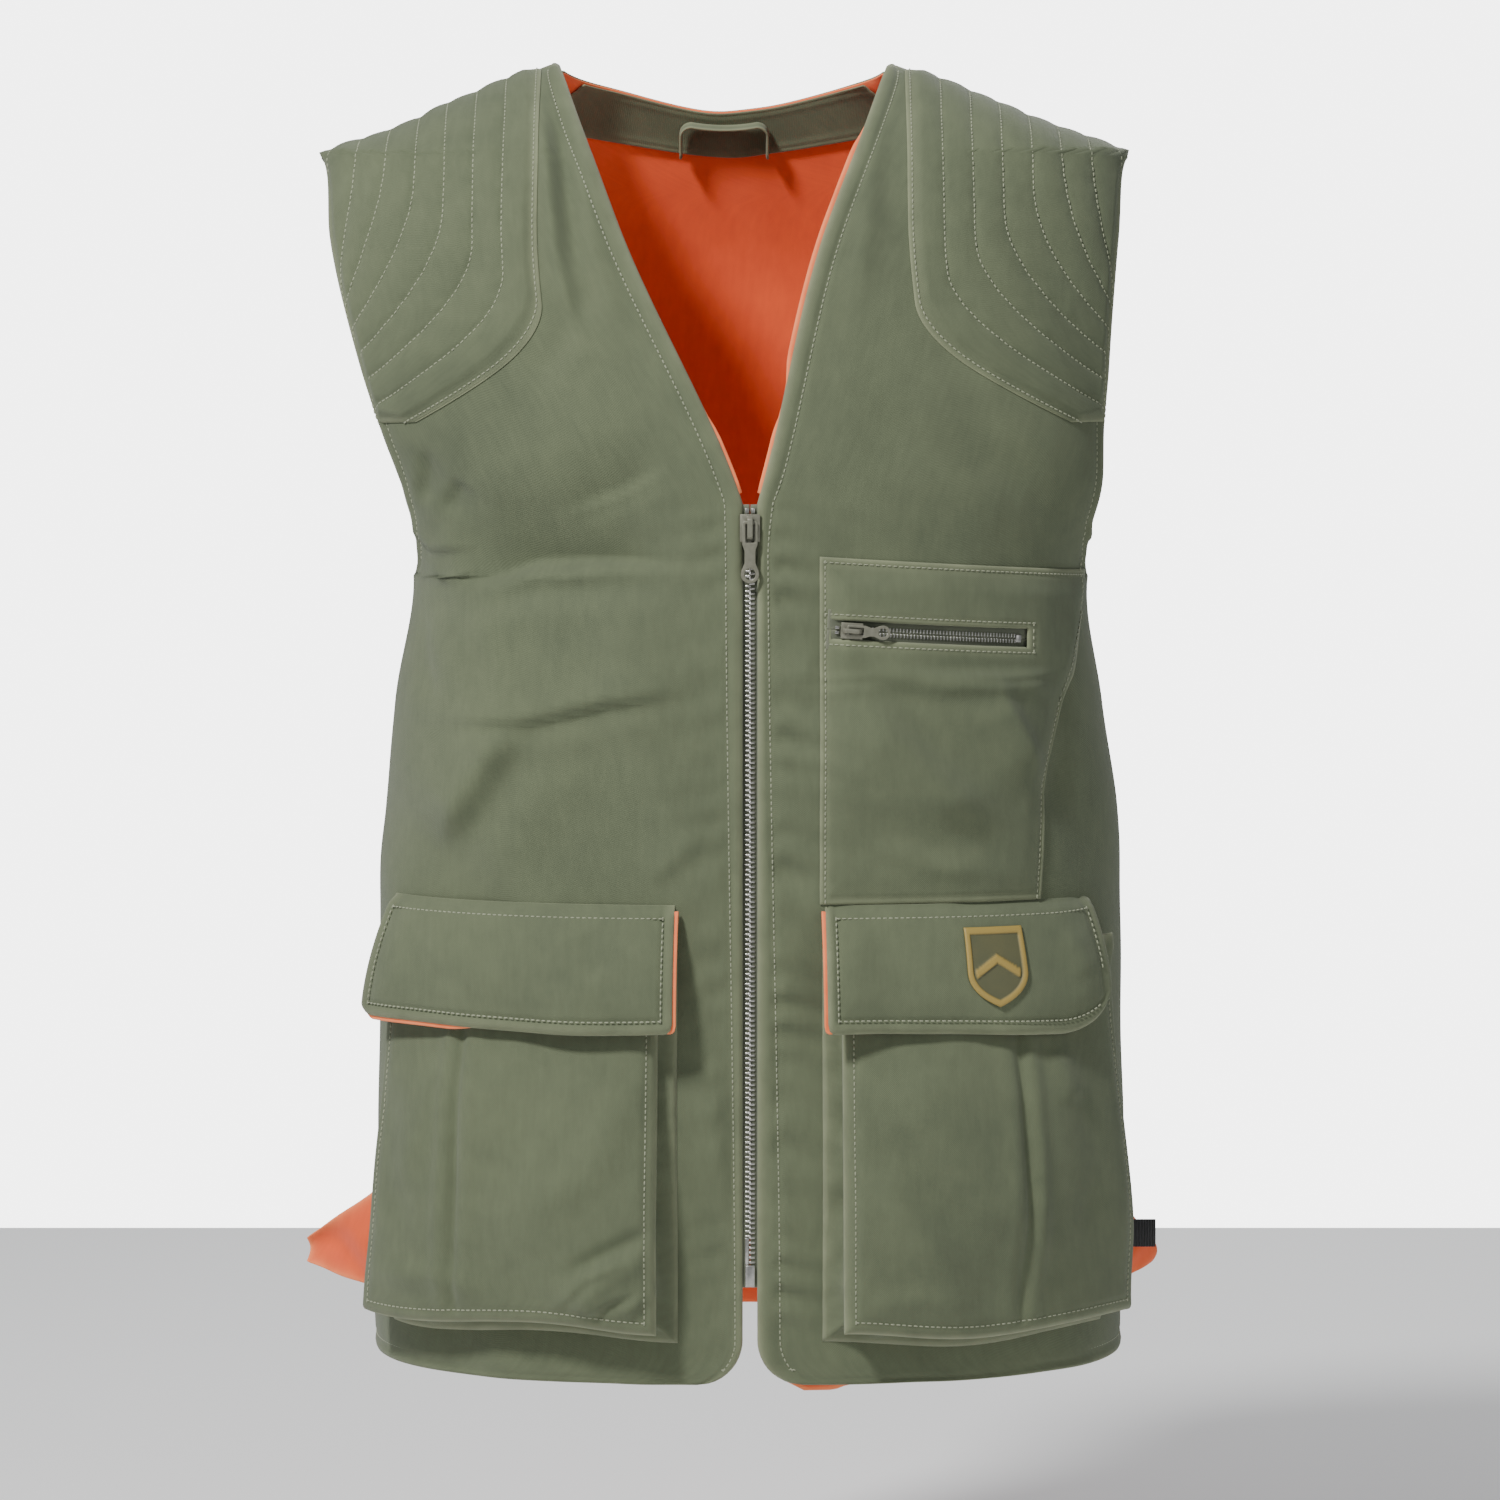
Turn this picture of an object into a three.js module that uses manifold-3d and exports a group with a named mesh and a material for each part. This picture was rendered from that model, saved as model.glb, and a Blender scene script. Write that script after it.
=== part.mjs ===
// Reversible hunting vest, life size, in millimetres. +Z is up, the front faces -Y and the wearer's
// left is +X. The origin is level with the neck points of the shoulders, where the vest rests.
import * as THREE from 'three';
import { mergeVertices } from 'three/addons/utils/BufferGeometryUtils.js';
import Module from 'manifold-3d';

const wasm = await Module();
wasm.setup();

// ---- Body ----
const bodyLength = 730;            // neck point down to the hem
const neckHalfWidth = 93;
const shoulderHalfWidth = 228;
const shoulderDrop = 54;           // shoulder point below the neck point
const underarmDrop = 290;
const underarmHalfWidth = 193;
const waistDrop = 420;
const waistHalfWidth = 209;
const hemHalfWidth = 214;
const neckFrontDepth = 34;         // how far the body stands forward at the neck point
const chestDepth = 126;            // the same at the foot of the V neck
const hemDepth = 137;
const neckBackDepth = 62;
const backDepth = 124;
const backNeckDrop = 22;
const vNeckDrop = 247;
const bodyRoundness = 2.4;         // 2 is an ellipse, more is squarer
const armholeCut = 0.09;           // share of the half width cut away at mid armhole
const hemCornerRadius = 25;
const frontEdge = 4.5;             // centre line to the front edge of each front

// ---- Cloth ----
const shellCloth = 1.6;
const liningCloth = 1.2;
const liningEase = 0.8;            // air between shell and lining
const fit = 0.3;                   // gap between pieces that touch
const seamGap = 0.4;               // gap where front and back shells meet
const patchInset = 102;            // centre line to the shoulder patch
const patchStraight = 138;         // depth at which the patch edge turns outwards
const patchEnd = 212;
const patchLoft = 5;

// ---- Main zip ----
const zipBelowV = 6;
const zipAboveHem = 54;
const tapeInner = 3;
const tapeOuter = 15.5;
const tapeCloth = 1;
const toothInner = 0.7;
const toothOuter = 2.7;
const toothDepth = 3;
const stopLength = 3;
const retainerLength = 12;
const pinLength = 15;

// ---- Zip slider and puller, at the main zip's size ----
const sliderLength = 15;
const sliderHalfWidth = 5.5;
const webHalf = 0.35;
const crownHalf = 1.5;
const crownLength = 12;
const crownOpening = 2.8;
const crownBar = 1.6;
const pullerLength = 34;
const pullerHalfWidth = 5;
const pullerThickness = 1.8;
const pullerSlotHalf = 2.4;
const pullerSlotLength = 11;

// ---- Chest pocket, on the wearer's left ----
const chestPanelInner = 38;
const chestPanelOuter = 184;
const chestPanelLowOuter = 158;
const chestPanelTop = 276;         // below the neck point
const chestPanelHeight = 182;
const chestZipDrop = 315;
const chestZipStart = 46;          // centre line to the slider end of the chain
const chestZipLength = 112;
const chestZipTilt = THREE.MathUtils.degToRad(3.5);
const chestWindowHalf = 7.5;
const chestZipScale = 0.8;         // chest zip against the main zip
const chestZipStandoff = 6.6;      // shell to the middle plane of the chest slider's slot
const chestPullerLength = 24;
const arcSlack = 1;                // how far the chest may leave the arc of the zip

// ---- Cargo pockets ----
const pocketInner = 44;
const pocketOuterAngle = 72;       // degrees round the body from the centre front
const pocketTopAboveHem = 242;
const pocketBottomAboveHem = 32;
const pocketTopDepth = 8;
const pocketBottomDepth = 23;
const flapInner = 41;
const flapOuterAngle = 68;
const flapTopAboveHem = 264;
const flapLength = 68;
const flapRise = 17;               // how far the flap's free edge stands off the shell
const flapSeat = 1.6;
const gripTapeCloth = 1.2;
const gripTapeHeight = 18;
const badgeWidth = 30;
const badgeHeight = 43;
const badgeThickness = 2.4;
const badgeAcross = 128;           // centre line to the badge

// ---- Back ----
const pouchTopAboveHem = 300;
const pouchBottomAboveHem = 14;
const pouchHalfAngle = 62;
const pouchRise = 26;
const pouchTipAcross = { right: 262, left: 238 };   // centre line to the corners that stand out
const pouchGussetHeight = 76;
const pouchTipBack = 84;
const pouchTipAboveHem = 38;
const loopHalfWidth = 26;
const loopHeight = 20;
const loopTape = 7;
const loopCloth = 1.4;
const tabWidth = 16;
const tabLength = 20;
const tabCloth = 1.6;

// ---- Materials ----
const paint = (color, roughness, metalness = 0) => () =>
  new THREE.MeshStandardMaterial({ color, roughness, metalness });
const greenTwill = paint(0x6d745f, 0.9);
const blazeOrange = paint(0xfa7446, 0.8);
const tapeGreen = paint(0x5c624f, 0.85);
const silver = paint(0xc9cbc6, 0.3, 1);
const pullerPaint = paint(0x7a7f6c, 0.5);
const gripNylon = paint(0x3f4238, 0.95);
const badgeRubber = paint(0x97826e, 0.6);
const blackWebbing = paint(0x1c1c1c, 0.8);

const vest = new THREE.Group();

function addMesh(name, geometry, material, parent = vest) {
  const mesh = new THREE.Mesh(geometry, material());
  mesh.name = name;
  parent.add(mesh);
  return mesh;
}

// ---- Geometry helpers ----

// Smooth curve through [position, value] pairs with rising positions.
function along(stations, at) {
  const last = stations.length - 2;
  let i = stations.findIndex(([position]) => position > at) - 1;
  if (i === -2) i = last;
  i = THREE.MathUtils.clamp(i, 0, last);
  const slope = (k) => {
    const a = stations[Math.max(k - 1, 0)];
    const b = stations[Math.min(k + 1, last + 1)];
    return (b[1] - a[1]) / (b[0] - a[0]);
  };
  const [[x0, y0], [x1, y1]] = [stations[i], stations[i + 1]];
  const span = x1 - x0;
  const t = THREE.MathUtils.clamp((at - x0) / span, 0, 1);
  const rise = t * t * (3 - 2 * t);
  const start = t * (1 - t) * (1 - t) * span * slope(i);
  const end = t * t * (t - 1) * span * slope(i + 1);
  return y0 + (y1 - y0) * rise + start + end;
}

// A closed sheet from a grid of corners: corner(row, column, side), shares 0 to 1, side 0 or 1.
function sheet(rows, columns, corner) {
  const across = columns + 1;
  const layer = (rows + 1) * across;
  const positions = [];
  for (let side = 0; side < 2; side += 1) {
    for (let r = 0; r <= rows; r += 1) {
      for (let c = 0; c <= columns; c += 1) positions.push(...corner(r / rows, c / columns, side));
    }
  }
  const index = [];
  const quad = (a, b, c, d) => index.push(a, b, c, a, c, d);
  const at = (r, c, side) => side * layer + r * across + c;
  for (let r = 0; r < rows; r += 1) {
    for (let c = 0; c < columns; c += 1) {
      quad(at(r, c, 1), at(r + 1, c, 1), at(r + 1, c + 1, 1), at(r, c + 1, 1));
      quad(at(r, c, 0), at(r, c + 1, 0), at(r + 1, c + 1, 0), at(r + 1, c, 0));
    }
    quad(at(r, 0, 0), at(r + 1, 0, 0), at(r + 1, 0, 1), at(r, 0, 1));
    quad(at(r, columns, 1), at(r + 1, columns, 1), at(r + 1, columns, 0), at(r, columns, 0));
  }
  for (let c = 0; c < columns; c += 1) {
    quad(at(0, c, 1), at(0, c + 1, 1), at(0, c + 1, 0), at(0, c, 0));
    quad(at(rows, c, 0), at(rows, c + 1, 0), at(rows, c + 1, 1), at(rows, c, 1));
  }
  const geometry = new THREE.BufferGeometry();
  geometry.setAttribute('position', new THREE.Float32BufferAttribute(positions, 3));
  geometry.setIndex(index);
  if (volume(geometry) < 0) geometry.setIndex(index.reverse());
  return geometry;
}

function volume(geometry) {
  const p = geometry.attributes.position;
  const corners = [0, 1, 2].map(() => new THREE.Vector3());
  let total = 0;
  for (let i = 0; i < geometry.index.count; i += 3) {
    corners.forEach((corner, k) => corner.fromBufferAttribute(p, geometry.index.getX(i + k)));
    total += corners[0].dot(corners[1].clone().cross(corners[2]));
  }
  return total;
}

function toSolid(geometry) {
  const bare = geometry.clone();
  bare.deleteAttribute('normal');
  bare.deleteAttribute('uv');
  const merged = mergeVertices(bare, 1e-4);
  return new wasm.Manifold(new wasm.Mesh({
    numProp: 3,
    vertProperties: new Float32Array(merged.attributes.position.array),
    triVerts: new Uint32Array(merged.index.array),
  }));
}

function toGeometry(solid) {
  const mesh = solid.getMesh();
  const geometry = new THREE.BufferGeometry();
  geometry.setAttribute('position', new THREE.BufferAttribute(mesh.vertProperties, 3));
  geometry.setIndex(new THREE.BufferAttribute(mesh.triVerts, 1));
  return geometry;
}

const cut = (geometry, ...tools) =>
  toGeometry(tools.reduce((solid, tool) => solid.subtract(toSolid(tool)), toSolid(geometry)));
const join = (geometry, ...others) =>
  toGeometry(others.reduce((solid, other) => solid.add(toSolid(other)), toSolid(geometry)));

function box(x0, x1, y0, y1, z0, z1) {
  return new THREE.BoxGeometry(x1 - x0, y1 - y0, z1 - z0)
    .translate((x0 + x1) / 2, (y0 + y1) / 2, (z0 + z1) / 2);
}

function shapeOf(points, holes = []) {
  const shape = new THREE.Shape(points.map(([x, y]) => new THREE.Vector2(x, y)));
  shape.holes = holes.map((hole) => new THREE.Path(hole.map(([x, y]) => new THREE.Vector2(x, y))));
  return shape;
}

const rectangle = (x0, x1, y0, y1) => [[x0, y0], [x1, y0], [x1, y1], [x0, y1]];
const extrude = (shape, depth) => new THREE.ExtrudeGeometry(shape, { depth, bevelEnabled: false });

// ---- The surface of the torso ----
const armholeLevel = (share) => THREE.MathUtils.lerp(shoulderDrop, underarmDrop, share);
const widthStations = [
  [shoulderDrop, shoulderHalfWidth],
  [armholeLevel(0.2), shoulderHalfWidth + 7],
  [armholeLevel(0.5), shoulderHalfWidth + 2],
  [armholeLevel(0.75), THREE.MathUtils.lerp(underarmHalfWidth, shoulderHalfWidth, 0.6)],
  [underarmDrop, underarmHalfWidth],
  [THREE.MathUtils.lerp(underarmDrop, waistDrop, 0.55), (underarmHalfWidth + waistHalfWidth) / 2],
  [waistDrop, waistHalfWidth],
  [bodyLength, hemHalfWidth],
];
const frontStations = [
  [0, neckFrontDepth],
  [vNeckDrop * 0.22, neckFrontDepth + 0.5 * (chestDepth - neckFrontDepth)],
  [vNeckDrop * 0.5, neckFrontDepth + 0.77 * (chestDepth - neckFrontDepth)],
  [vNeckDrop, chestDepth],
];
const backStations = [
  [0, neckBackDepth],
  [vNeckDrop * 0.22, neckBackDepth + 0.42 * (backDepth - neckBackDepth)],
  [vNeckDrop * 0.5, neckBackDepth + 0.8 * (backDepth - neckBackDepth)],
  [vNeckDrop, backDepth],
  [bodyLength, backDepth + 2],
];

function halfWidth(z) {
  const drop = Math.max(-z, 0);
  if (drop < shoulderDrop) {
    return THREE.MathUtils.lerp(neckHalfWidth, shoulderHalfWidth, drop / shoulderDrop);
  }
  return along(widthStations, drop);
}

function frontDepth(z) {
  const drop = -z;
  if (drop < vNeckDrop) return along(frontStations, Math.max(drop, 0));
  const share = (drop - vNeckDrop) / (bodyLength - vNeckDrop);
  return THREE.MathUtils.lerp(chestDepth, hemDepth, share);
}

const rearDepth = (z) => along(backStations, Math.max(-z, 0));
const radians = THREE.MathUtils.degToRad;

// A point of the torso: angle 0 is centre front, +90 degrees the wearer's left side, 180 centre back.
function onBody(angle, z) {
  const sine = Math.sin(angle);
  const cosine = Math.cos(angle);
  const depth = cosine > 0 ? frontDepth(z) : rearDepth(z);
  const n = bodyRoundness;
  const sum = (Math.abs(sine) / halfWidth(z)) ** n + (Math.abs(cosine) / depth) ** n;
  const radius = sum ** (-1 / n);
  return new THREE.Vector3(radius * sine, -radius * cosine, z);
}

function outwards(angle, z) {
  const step = 1e-3;
  const round = onBody(angle + step, z).sub(onBody(angle - step, z));
  const up = onBody(angle, z + 0.5).sub(onBody(angle, z - 0.5));
  return round.cross(up).normalize();
}

function skin(angle, z, offset) {
  return onBody(angle, z).addScaledVector(outwards(angle, z), offset);
}

// The angle round the front at which the torso is x from the centre line.
function angleAt(x, z) {
  const n = bodyRoundness;
  const share = Math.min(Math.abs(x) / halfWidth(z), 1);
  const depth = frontDepth(z) * (1 - share ** n) ** (1 / n);
  return Math.sign(x) * Math.atan2(Math.abs(x), depth);
}

// ---- Outlines of the body panels ----
const neckRow = -2;
const armRows = [0.18, 0.36, 0.58];
const lowRows = [0.16, 0.38, 0.6, 0.8];
const bodyRows = [
  neckRow,
  -shoulderDrop * 0.5,
  -shoulderDrop,
  ...armRows.map((share) => -armholeLevel(share)),
  -vNeckDrop,
  -underarmDrop,
  ...lowRows.map((share) => -THREE.MathUtils.lerp(underarmDrop, bodyLength, share)),
  -bodyLength + hemCornerRadius,
  -bodyLength + hemCornerRadius * (1 - Math.SQRT1_2),
  -bodyLength,
];

// Half width of the V neck and of the opening below it, with the rounded hem corner.
function frontOpening(z) {
  if (-z < vNeckDrop) {
    const share = 1 + z / vNeckDrop;
    return frontEdge + (neckHalfWidth - frontEdge) * share ** 1.06;
  }
  const above = bodyLength + z;
  if (above >= hemCornerRadius) return frontEdge;
  const r = hemCornerRadius;
  return frontEdge + r - Math.sqrt(r * r - (r - Math.max(above, 0)) ** 2);
}

// Angle from the centre line at which a body panel ends: shoulder seam, armhole or side seam.
function panelEnd(z) {
  const seam = Math.PI / 2 - seamGap / 2 / halfWidth(z);
  const share = (-z - shoulderDrop) / (underarmDrop - shoulderDrop);
  if (share <= 0 || share >= 1) return seam;
  const kept = 1 - armholeCut * Math.sin(Math.PI * share) ** 0.6;
  return Math.min(angleAt(halfWidth(z) * kept, z), seam);
}

function frontPanel(side, outer, inner, opening) {
  const last = bodyRows.length - 1;
  return sheet(last, 6, (row, column, face) => {
    const z = bodyRows[Math.round(row * last)];
    const spread = THREE.MathUtils.lerp(angleAt(frontOpening(z), z), panelEnd(z), column);
    const angle = column > 0 ? spread : angleAt(opening(z), z);
    return skin(side * angle, z, face ? outer : inner).toArray();
  });
}

// A level of the back, which dips to the back neck in the middle. turn 0 is centre back.
function onBackPanel(level, turn, offset) {
  const neck = Math.min(-backNeckDrop * Math.cos(turn) ** 2, neckRow);
  const share = (level - neckRow) / (-bodyLength - neckRow);
  return skin(Math.PI + turn, THREE.MathUtils.lerp(neck, -bodyLength, share), offset);
}

function backPanel(outer, inner) {
  const last = bodyRows.length - 1;
  return sheet(last, 12, (row, column, face) => {
    const level = bodyRows[Math.round(row * last)];
    const turn = (column * 2 - 1) * panelEnd(level);
    return onBackPanel(level, turn, face ? outer : inner).toArray();
  });
}

// ---- Shell and lining ----
const liningOuter = -shellCloth - liningEase;
const liningInner = liningOuter - liningCloth;
const liningEdge = (z) => Math.max(frontOpening(z), tapeOuter + fit);
const sides = [['right', -1], ['left', 1]];

sides.forEach(([side, sign]) => {
  addMesh(`front_shell_${side}`, frontPanel(sign, 0, -shellCloth, frontOpening), greenTwill);
  addMesh(`front_lining_${side}`, frontPanel(sign, liningOuter, liningInner, liningEdge), blazeOrange);
});
addMesh('back_shell', backPanel(0, -shellCloth), greenTwill);
addMesh('back_lining', backPanel(liningOuter, liningInner), blazeOrange);

// What a piece sewn onto a front must clear: the shell, grown by the fitting gap.
const frontClearance = (sign) => frontPanel(sign, fit, -12, frontOpening);

// ---- Quilted shoulder patches ----
function patchEdge(z) {
  const turn = THREE.MathUtils.clamp((-z - patchStraight) / (patchEnd - patchStraight), 0, 1);
  const reach = halfWidth(z) * (1 - armholeCut);
  return patchInset + (reach - patchInset) * turn ** 1.9;
}

const patchTop = -shoulderDrop * (patchInset + 6 - neckHalfWidth) / (shoulderHalfWidth - neckHalfWidth);
sides.forEach(([side, sign]) => {
  const patch = sheet(8, 5, (row, column, face) => {
    const z = THREE.MathUtils.lerp(patchTop, -patchEnd + 9, row);
    const end = panelEnd(z) - 2.5 / halfWidth(z);
    const angle = THREE.MathUtils.lerp(Math.min(angleAt(patchEdge(z), z), end - 0.03), end, column);
    return skin(sign * angle, z, face ? patchLoft + 1 : -1).toArray();
  });
  addMesh(`shoulder_patch_${side}`, cut(patch, frontClearance(sign)), greenTwill);
});

// ---- Zip slider and puller, seen from the front with the chain running down ----
// y 0 is the front face of the cloth beside the chain, and z 0 is the top of the slider.
const tapeFront = shellCloth + liningEase;
const chainMiddle = tapeFront + tapeCloth / 2;
const toothFront = chainMiddle - toothDepth / 2;
const toothBack = chainMiddle + toothDepth / 2;
const slideGap = 0.4;
const plateFront = -2.2;
const plateBack = -0.6;
const crownTop = (crownLength - sliderLength) / 2;
const pullerPivot = new THREE.Vector3(0, plateFront - crownOpening / 2,
  crownTop - crownBar - crownOpening / 2);

// Drawn in (z, outwards) and extruded across, and drawn in (x, z) and extruded outwards.
const acrossChain = new THREE.Matrix4().makeBasis(
  new THREE.Vector3(0, 0, 1), new THREE.Vector3(0, -1, 0), new THREE.Vector3(1, 0, 0));
const flatOnChain = new THREE.Matrix4().makeBasis(
  new THREE.Vector3(1, 0, 0), new THREE.Vector3(0, 0, 1), new THREE.Vector3(0, -1, 0));

function sliderGeometry(scale) {
  const back = toothBack + slideGap;
  const front = toothFront - slideGap;
  const w = sliderHalfWidth;
  const lip = tapeInner + 0.9;
  const section = shapeOf([[webHalf, back], [w, back], [w, back + 1], [-w, back + 1], [-w, back],
    [-webHalf, back], [-webHalf, front], [-lip, front], [-lip, plateBack], [-w, plateBack],
    [-w, plateFront], [w, plateFront], [w, plateBack], [lip, plateBack], [lip, front],
    [webHalf, front]]);
  const body = extrude(section, sliderLength).translate(0, 0, -sliderLength);
  const low = crownTop - crownLength;
  const hole = crownOpening - plateFront;
  const rise = hole + crownBar;
  const chamfer = 1.4;
  const sunk = -plateFront - 0.3;
  const crown = shapeOf([[crownTop, sunk], [crownTop, rise - chamfer], [crownTop - chamfer, rise],
    [low + chamfer, rise], [low, rise - chamfer], [low, sunk], [low + crownBar, sunk],
    [low + crownBar, hole], [crownTop - crownBar, hole], [crownTop - crownBar, sunk]]);
  const arch = extrude(crown, 2 * crownHalf).applyMatrix4(acrossChain).translate(-crownHalf, 0, 0);
  return join(body, arch).scale(scale, scale, scale);
}

function pullerGeometry(scale, length) {
  const bar = pullerThickness / 2;
  const w = pullerHalfWidth;
  const low = bar - length / scale;
  const outline = [[-w, bar], [-w, low + 2], [-w + 2, low], [w - 2, low], [w, low + 2], [w, bar]];
  const slot = rectangle(-pullerSlotHalf, pullerSlotHalf, -bar - pullerSlotLength, -bar);
  const ring = rectangle(2 - w, w - 2, low + 2.4, low + 6.4);
  return extrude(shapeOf(outline, [slot, ring]), pullerThickness).applyMatrix4(flatOnChain)
    .translate(0, bar, 0).scale(scale, scale, scale);
}

// ---- Main separating zip ----
const zipTop = -vNeckDrop - zipBelowV;
const zipLength = bodyLength + zipTop - zipAboveHem;
const mainZip = new THREE.Group();
mainZip.position.set(0, -frontDepth(zipTop), zipTop);
mainZip.rotation.x = -Math.atan((hemDepth - chestDepth) / (bodyLength - vNeckDrop));
vest.add(mainZip);

const chainEnd = retainerLength - zipLength;
function mirrored(sign, x0, x1, y0, y1, z0, z1) {
  return sign > 0 ? box(x0, x1, y0, y1, z0, z1) : box(-x1, -x0, y0, y1, z0, z1);
}

sides.forEach(([side, sign]) => {
  const lowest = sign > 0 ? chainEnd + fit : chainEnd + pinLength + fit;
  addMesh(`zip_tape_${side}`, mirrored(sign, tapeInner, tapeOuter, tapeFront, tapeFront + tapeCloth,
    -zipLength, zipBelowV - 1), tapeGreen, mainZip);
  addMesh(`zip_teeth_${side}`, mirrored(sign, toothInner, toothOuter, toothFront, toothBack,
    lowest, -fit), silver, mainZip);
  addMesh(`zip_top_stop_${side}`, mirrored(sign, toothInner, toothOuter, toothFront - fit,
    toothBack + fit, fit, fit + stopLength), silver, mainZip);
});
addMesh('zip_insertion_pin', mirrored(-1, toothInner, toothOuter, toothFront + fit, toothBack - fit,
  chainEnd + fit, chainEnd + pinLength), silver, mainZip);
addMesh('zip_retainer_box', box(-toothOuter, toothOuter, toothFront - 0.7, toothBack + 0.7,
  -zipLength, chainEnd), silver, mainZip);

const mainSlider = new THREE.Group();
mainZip.add(mainSlider);
addMesh('zip_slider', sliderGeometry(1), silver, mainSlider);
addMesh('zip_puller', pullerGeometry(1, pullerLength), pullerPaint, mainSlider)
  .position.copy(pullerPivot);

// ---- Chest pocket zip, which follows an arc round the chest ----
function circleThrough(a, b, c) {
  const square = (p) => p.x * p.x + p.y * p.y;
  const d = 2 * (a.x * (b.y - c.y) + b.x * (c.y - a.y) + c.x * (a.y - b.y));
  const x = (square(a) * (b.y - c.y) + square(b) * (c.y - a.y) + square(c) * (a.y - b.y)) / d;
  const y = (square(a) * (c.x - b.x) + square(b) * (a.x - c.x) + square(c) * (b.x - a.x)) / d;
  return { x, y, radius: Math.hypot(a.x - x, a.y - y) };
}

const chestPoint = (x) => onBody(angleAt(x, -chestZipDrop), -chestZipDrop);
const chestArc = circleThrough(chestPoint(chestZipStart), chestPoint(chestZipStart + chestZipLength / 2),
  chestPoint(chestZipStart + chestZipLength * 0.93));
const chainRadius = chestArc.radius + chestZipStandoff;
const arcStart = Math.asin((chestZipStart - chestArc.x) / chestArc.radius);
const chestZip = new THREE.Group();
chestZip.position.set(chestArc.x, chestArc.y, -chestZipDrop);
chestZip.rotation.y = chestZipTilt;
vest.add(chestZip);

// A strip along the arc: lengths along the chain, depths behind the cloth face, heights across.
function arcStrip(from, to, front, back, low, high, steps) {
  return sheet(steps, 1, (row, column, face) => {
    const turn = arcStart + THREE.MathUtils.lerp(from, to, row) / chainRadius;
    const radius = chainRadius - (face ? front : back);
    return [radius * Math.sin(turn), -radius * Math.cos(turn), column ? high : low];
  });
}

const cz = chestZipScale;
const chestSliderStart = cz * stopLength + 2 * fit;
[['upper', 1], ['lower', -1]].forEach(([row, sign]) => {
  const heights = (a, b) => (sign > 0 ? [a, b] : [-b, -a]);
  const tooth = heights(cz * toothInner, cz * toothOuter);
  const tape = heights(cz * tapeInner, chestWindowHalf + 3.5);
  addMesh(`chest_zip_tape_${row}`, arcStrip(-2, chestZipLength + 2, cz * tapeFront,
    cz * (tapeFront + tapeCloth), ...tape, 14), tapeGreen, chestZip);
  addMesh(`chest_zip_teeth_${row}`, arcStrip(chestSliderStart, chestZipLength - 6, cz * toothFront,
    cz * toothBack, ...tooth, 14), silver, chestZip);
  addMesh(`chest_zip_top_stop_${row}`, arcStrip(0, cz * stopLength, cz * toothFront - fit,
    cz * toothBack + fit, ...tooth, 1), silver, chestZip);
});
addMesh('chest_zip_bottom_stop', arcStrip(chestZipLength - 6 + fit, chestZipLength - 2,
  cz * toothFront - fit, cz * toothBack + fit, -cz * toothOuter, cz * toothOuter, 1), silver, chestZip);

const chestSliderMiddle = cz * sliderLength / 2;
const chestTurn = new THREE.Group();
chestTurn.rotation.z = arcStart + (chestSliderStart + chestSliderMiddle) / chainRadius;
chestZip.add(chestTurn);
const chestSlider = new THREE.Group();
chestSlider.position.set(-chestSliderMiddle, -chainRadius, 0);
chestSlider.rotation.y = -Math.PI / 2;
chestTurn.add(chestSlider);
addMesh('chest_zip_slider', sliderGeometry(cz), silver, chestSlider);
addMesh('chest_zip_puller', pullerGeometry(cz, chestPullerLength), pullerPaint, chestSlider)
  .position.copy(pullerPivot).multiplyScalar(cz);

// ---- Chest pocket panel ----
const panelLift = chestZipStandoff - cz * tapeFront + fit + arcSlack;
const panelSeat = 0.6;
const panelRows = [0, 0.03, 0.07, 0.34, 0.6, 0.93, 1];
const panelColumns = [0, 0.03, ...Array.from({ length: 10 }, (_, i) => 0.115 + i * 0.0875), 1];
const chestPanel = sheet(6, 12, (row, column, face) => {
  const r = panelRows[Math.round(row * 6)];
  const c = panelColumns[Math.round(column * 12)];
  const z = -chestPanelTop - chestPanelHeight * r;
  const reach = THREE.MathUtils.lerp(chestPanelOuter, chestPanelLowOuter, r);
  const edge = r === 0 || r === 1 || c === 0 || c === 1;
  const angle = THREE.MathUtils.lerp(angleAt(chestPanelInner, z), angleAt(reach, z), c);
  return skin(angle, z, (edge ? panelSeat : panelLift) + (face ? shellCloth : 0)).toArray();
});
const chestWindow = arcStrip(-2.6, chestZipLength, -12, 3, -chestWindowHalf, chestWindowHalf, 14);
chestZip.updateMatrixWorld();
chestWindow.applyMatrix4(chestZip.matrixWorld);
addMesh('chest_pocket_panel', cut(chestPanel, chestWindow), greenTwill);

// ---- Cargo pockets with bellows gussets ----
const pocketTop = pocketTopAboveHem - bodyLength;
const pocketBottom = pocketBottomAboveHem - bodyLength;
const pocketColumns = 8;
const pocketRows = 4;

function pocketDepth(z) {
  const share = (pocketTop - z) / (pocketTop - pocketBottom);
  return THREE.MathUtils.lerp(pocketTopDepth, pocketBottomDepth, share);
}

function pocketAngle(share, z) {
  return THREE.MathUtils.lerp(angleAt(pocketInner, z), radians(pocketOuterAngle), share);
}

// The gusset's run: down the inner edge, along the bottom and up the outer edge.
const gussetRun = [
  ...Array.from({ length: pocketRows }, (_, i) => [0, i / pocketRows]),
  ...Array.from({ length: pocketColumns + 1 }, (_, i) => [i / pocketColumns, 1]),
  ...Array.from({ length: pocketRows }, (_, i) => [1, 1 - (i + 1) / pocketRows]),
];

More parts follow.
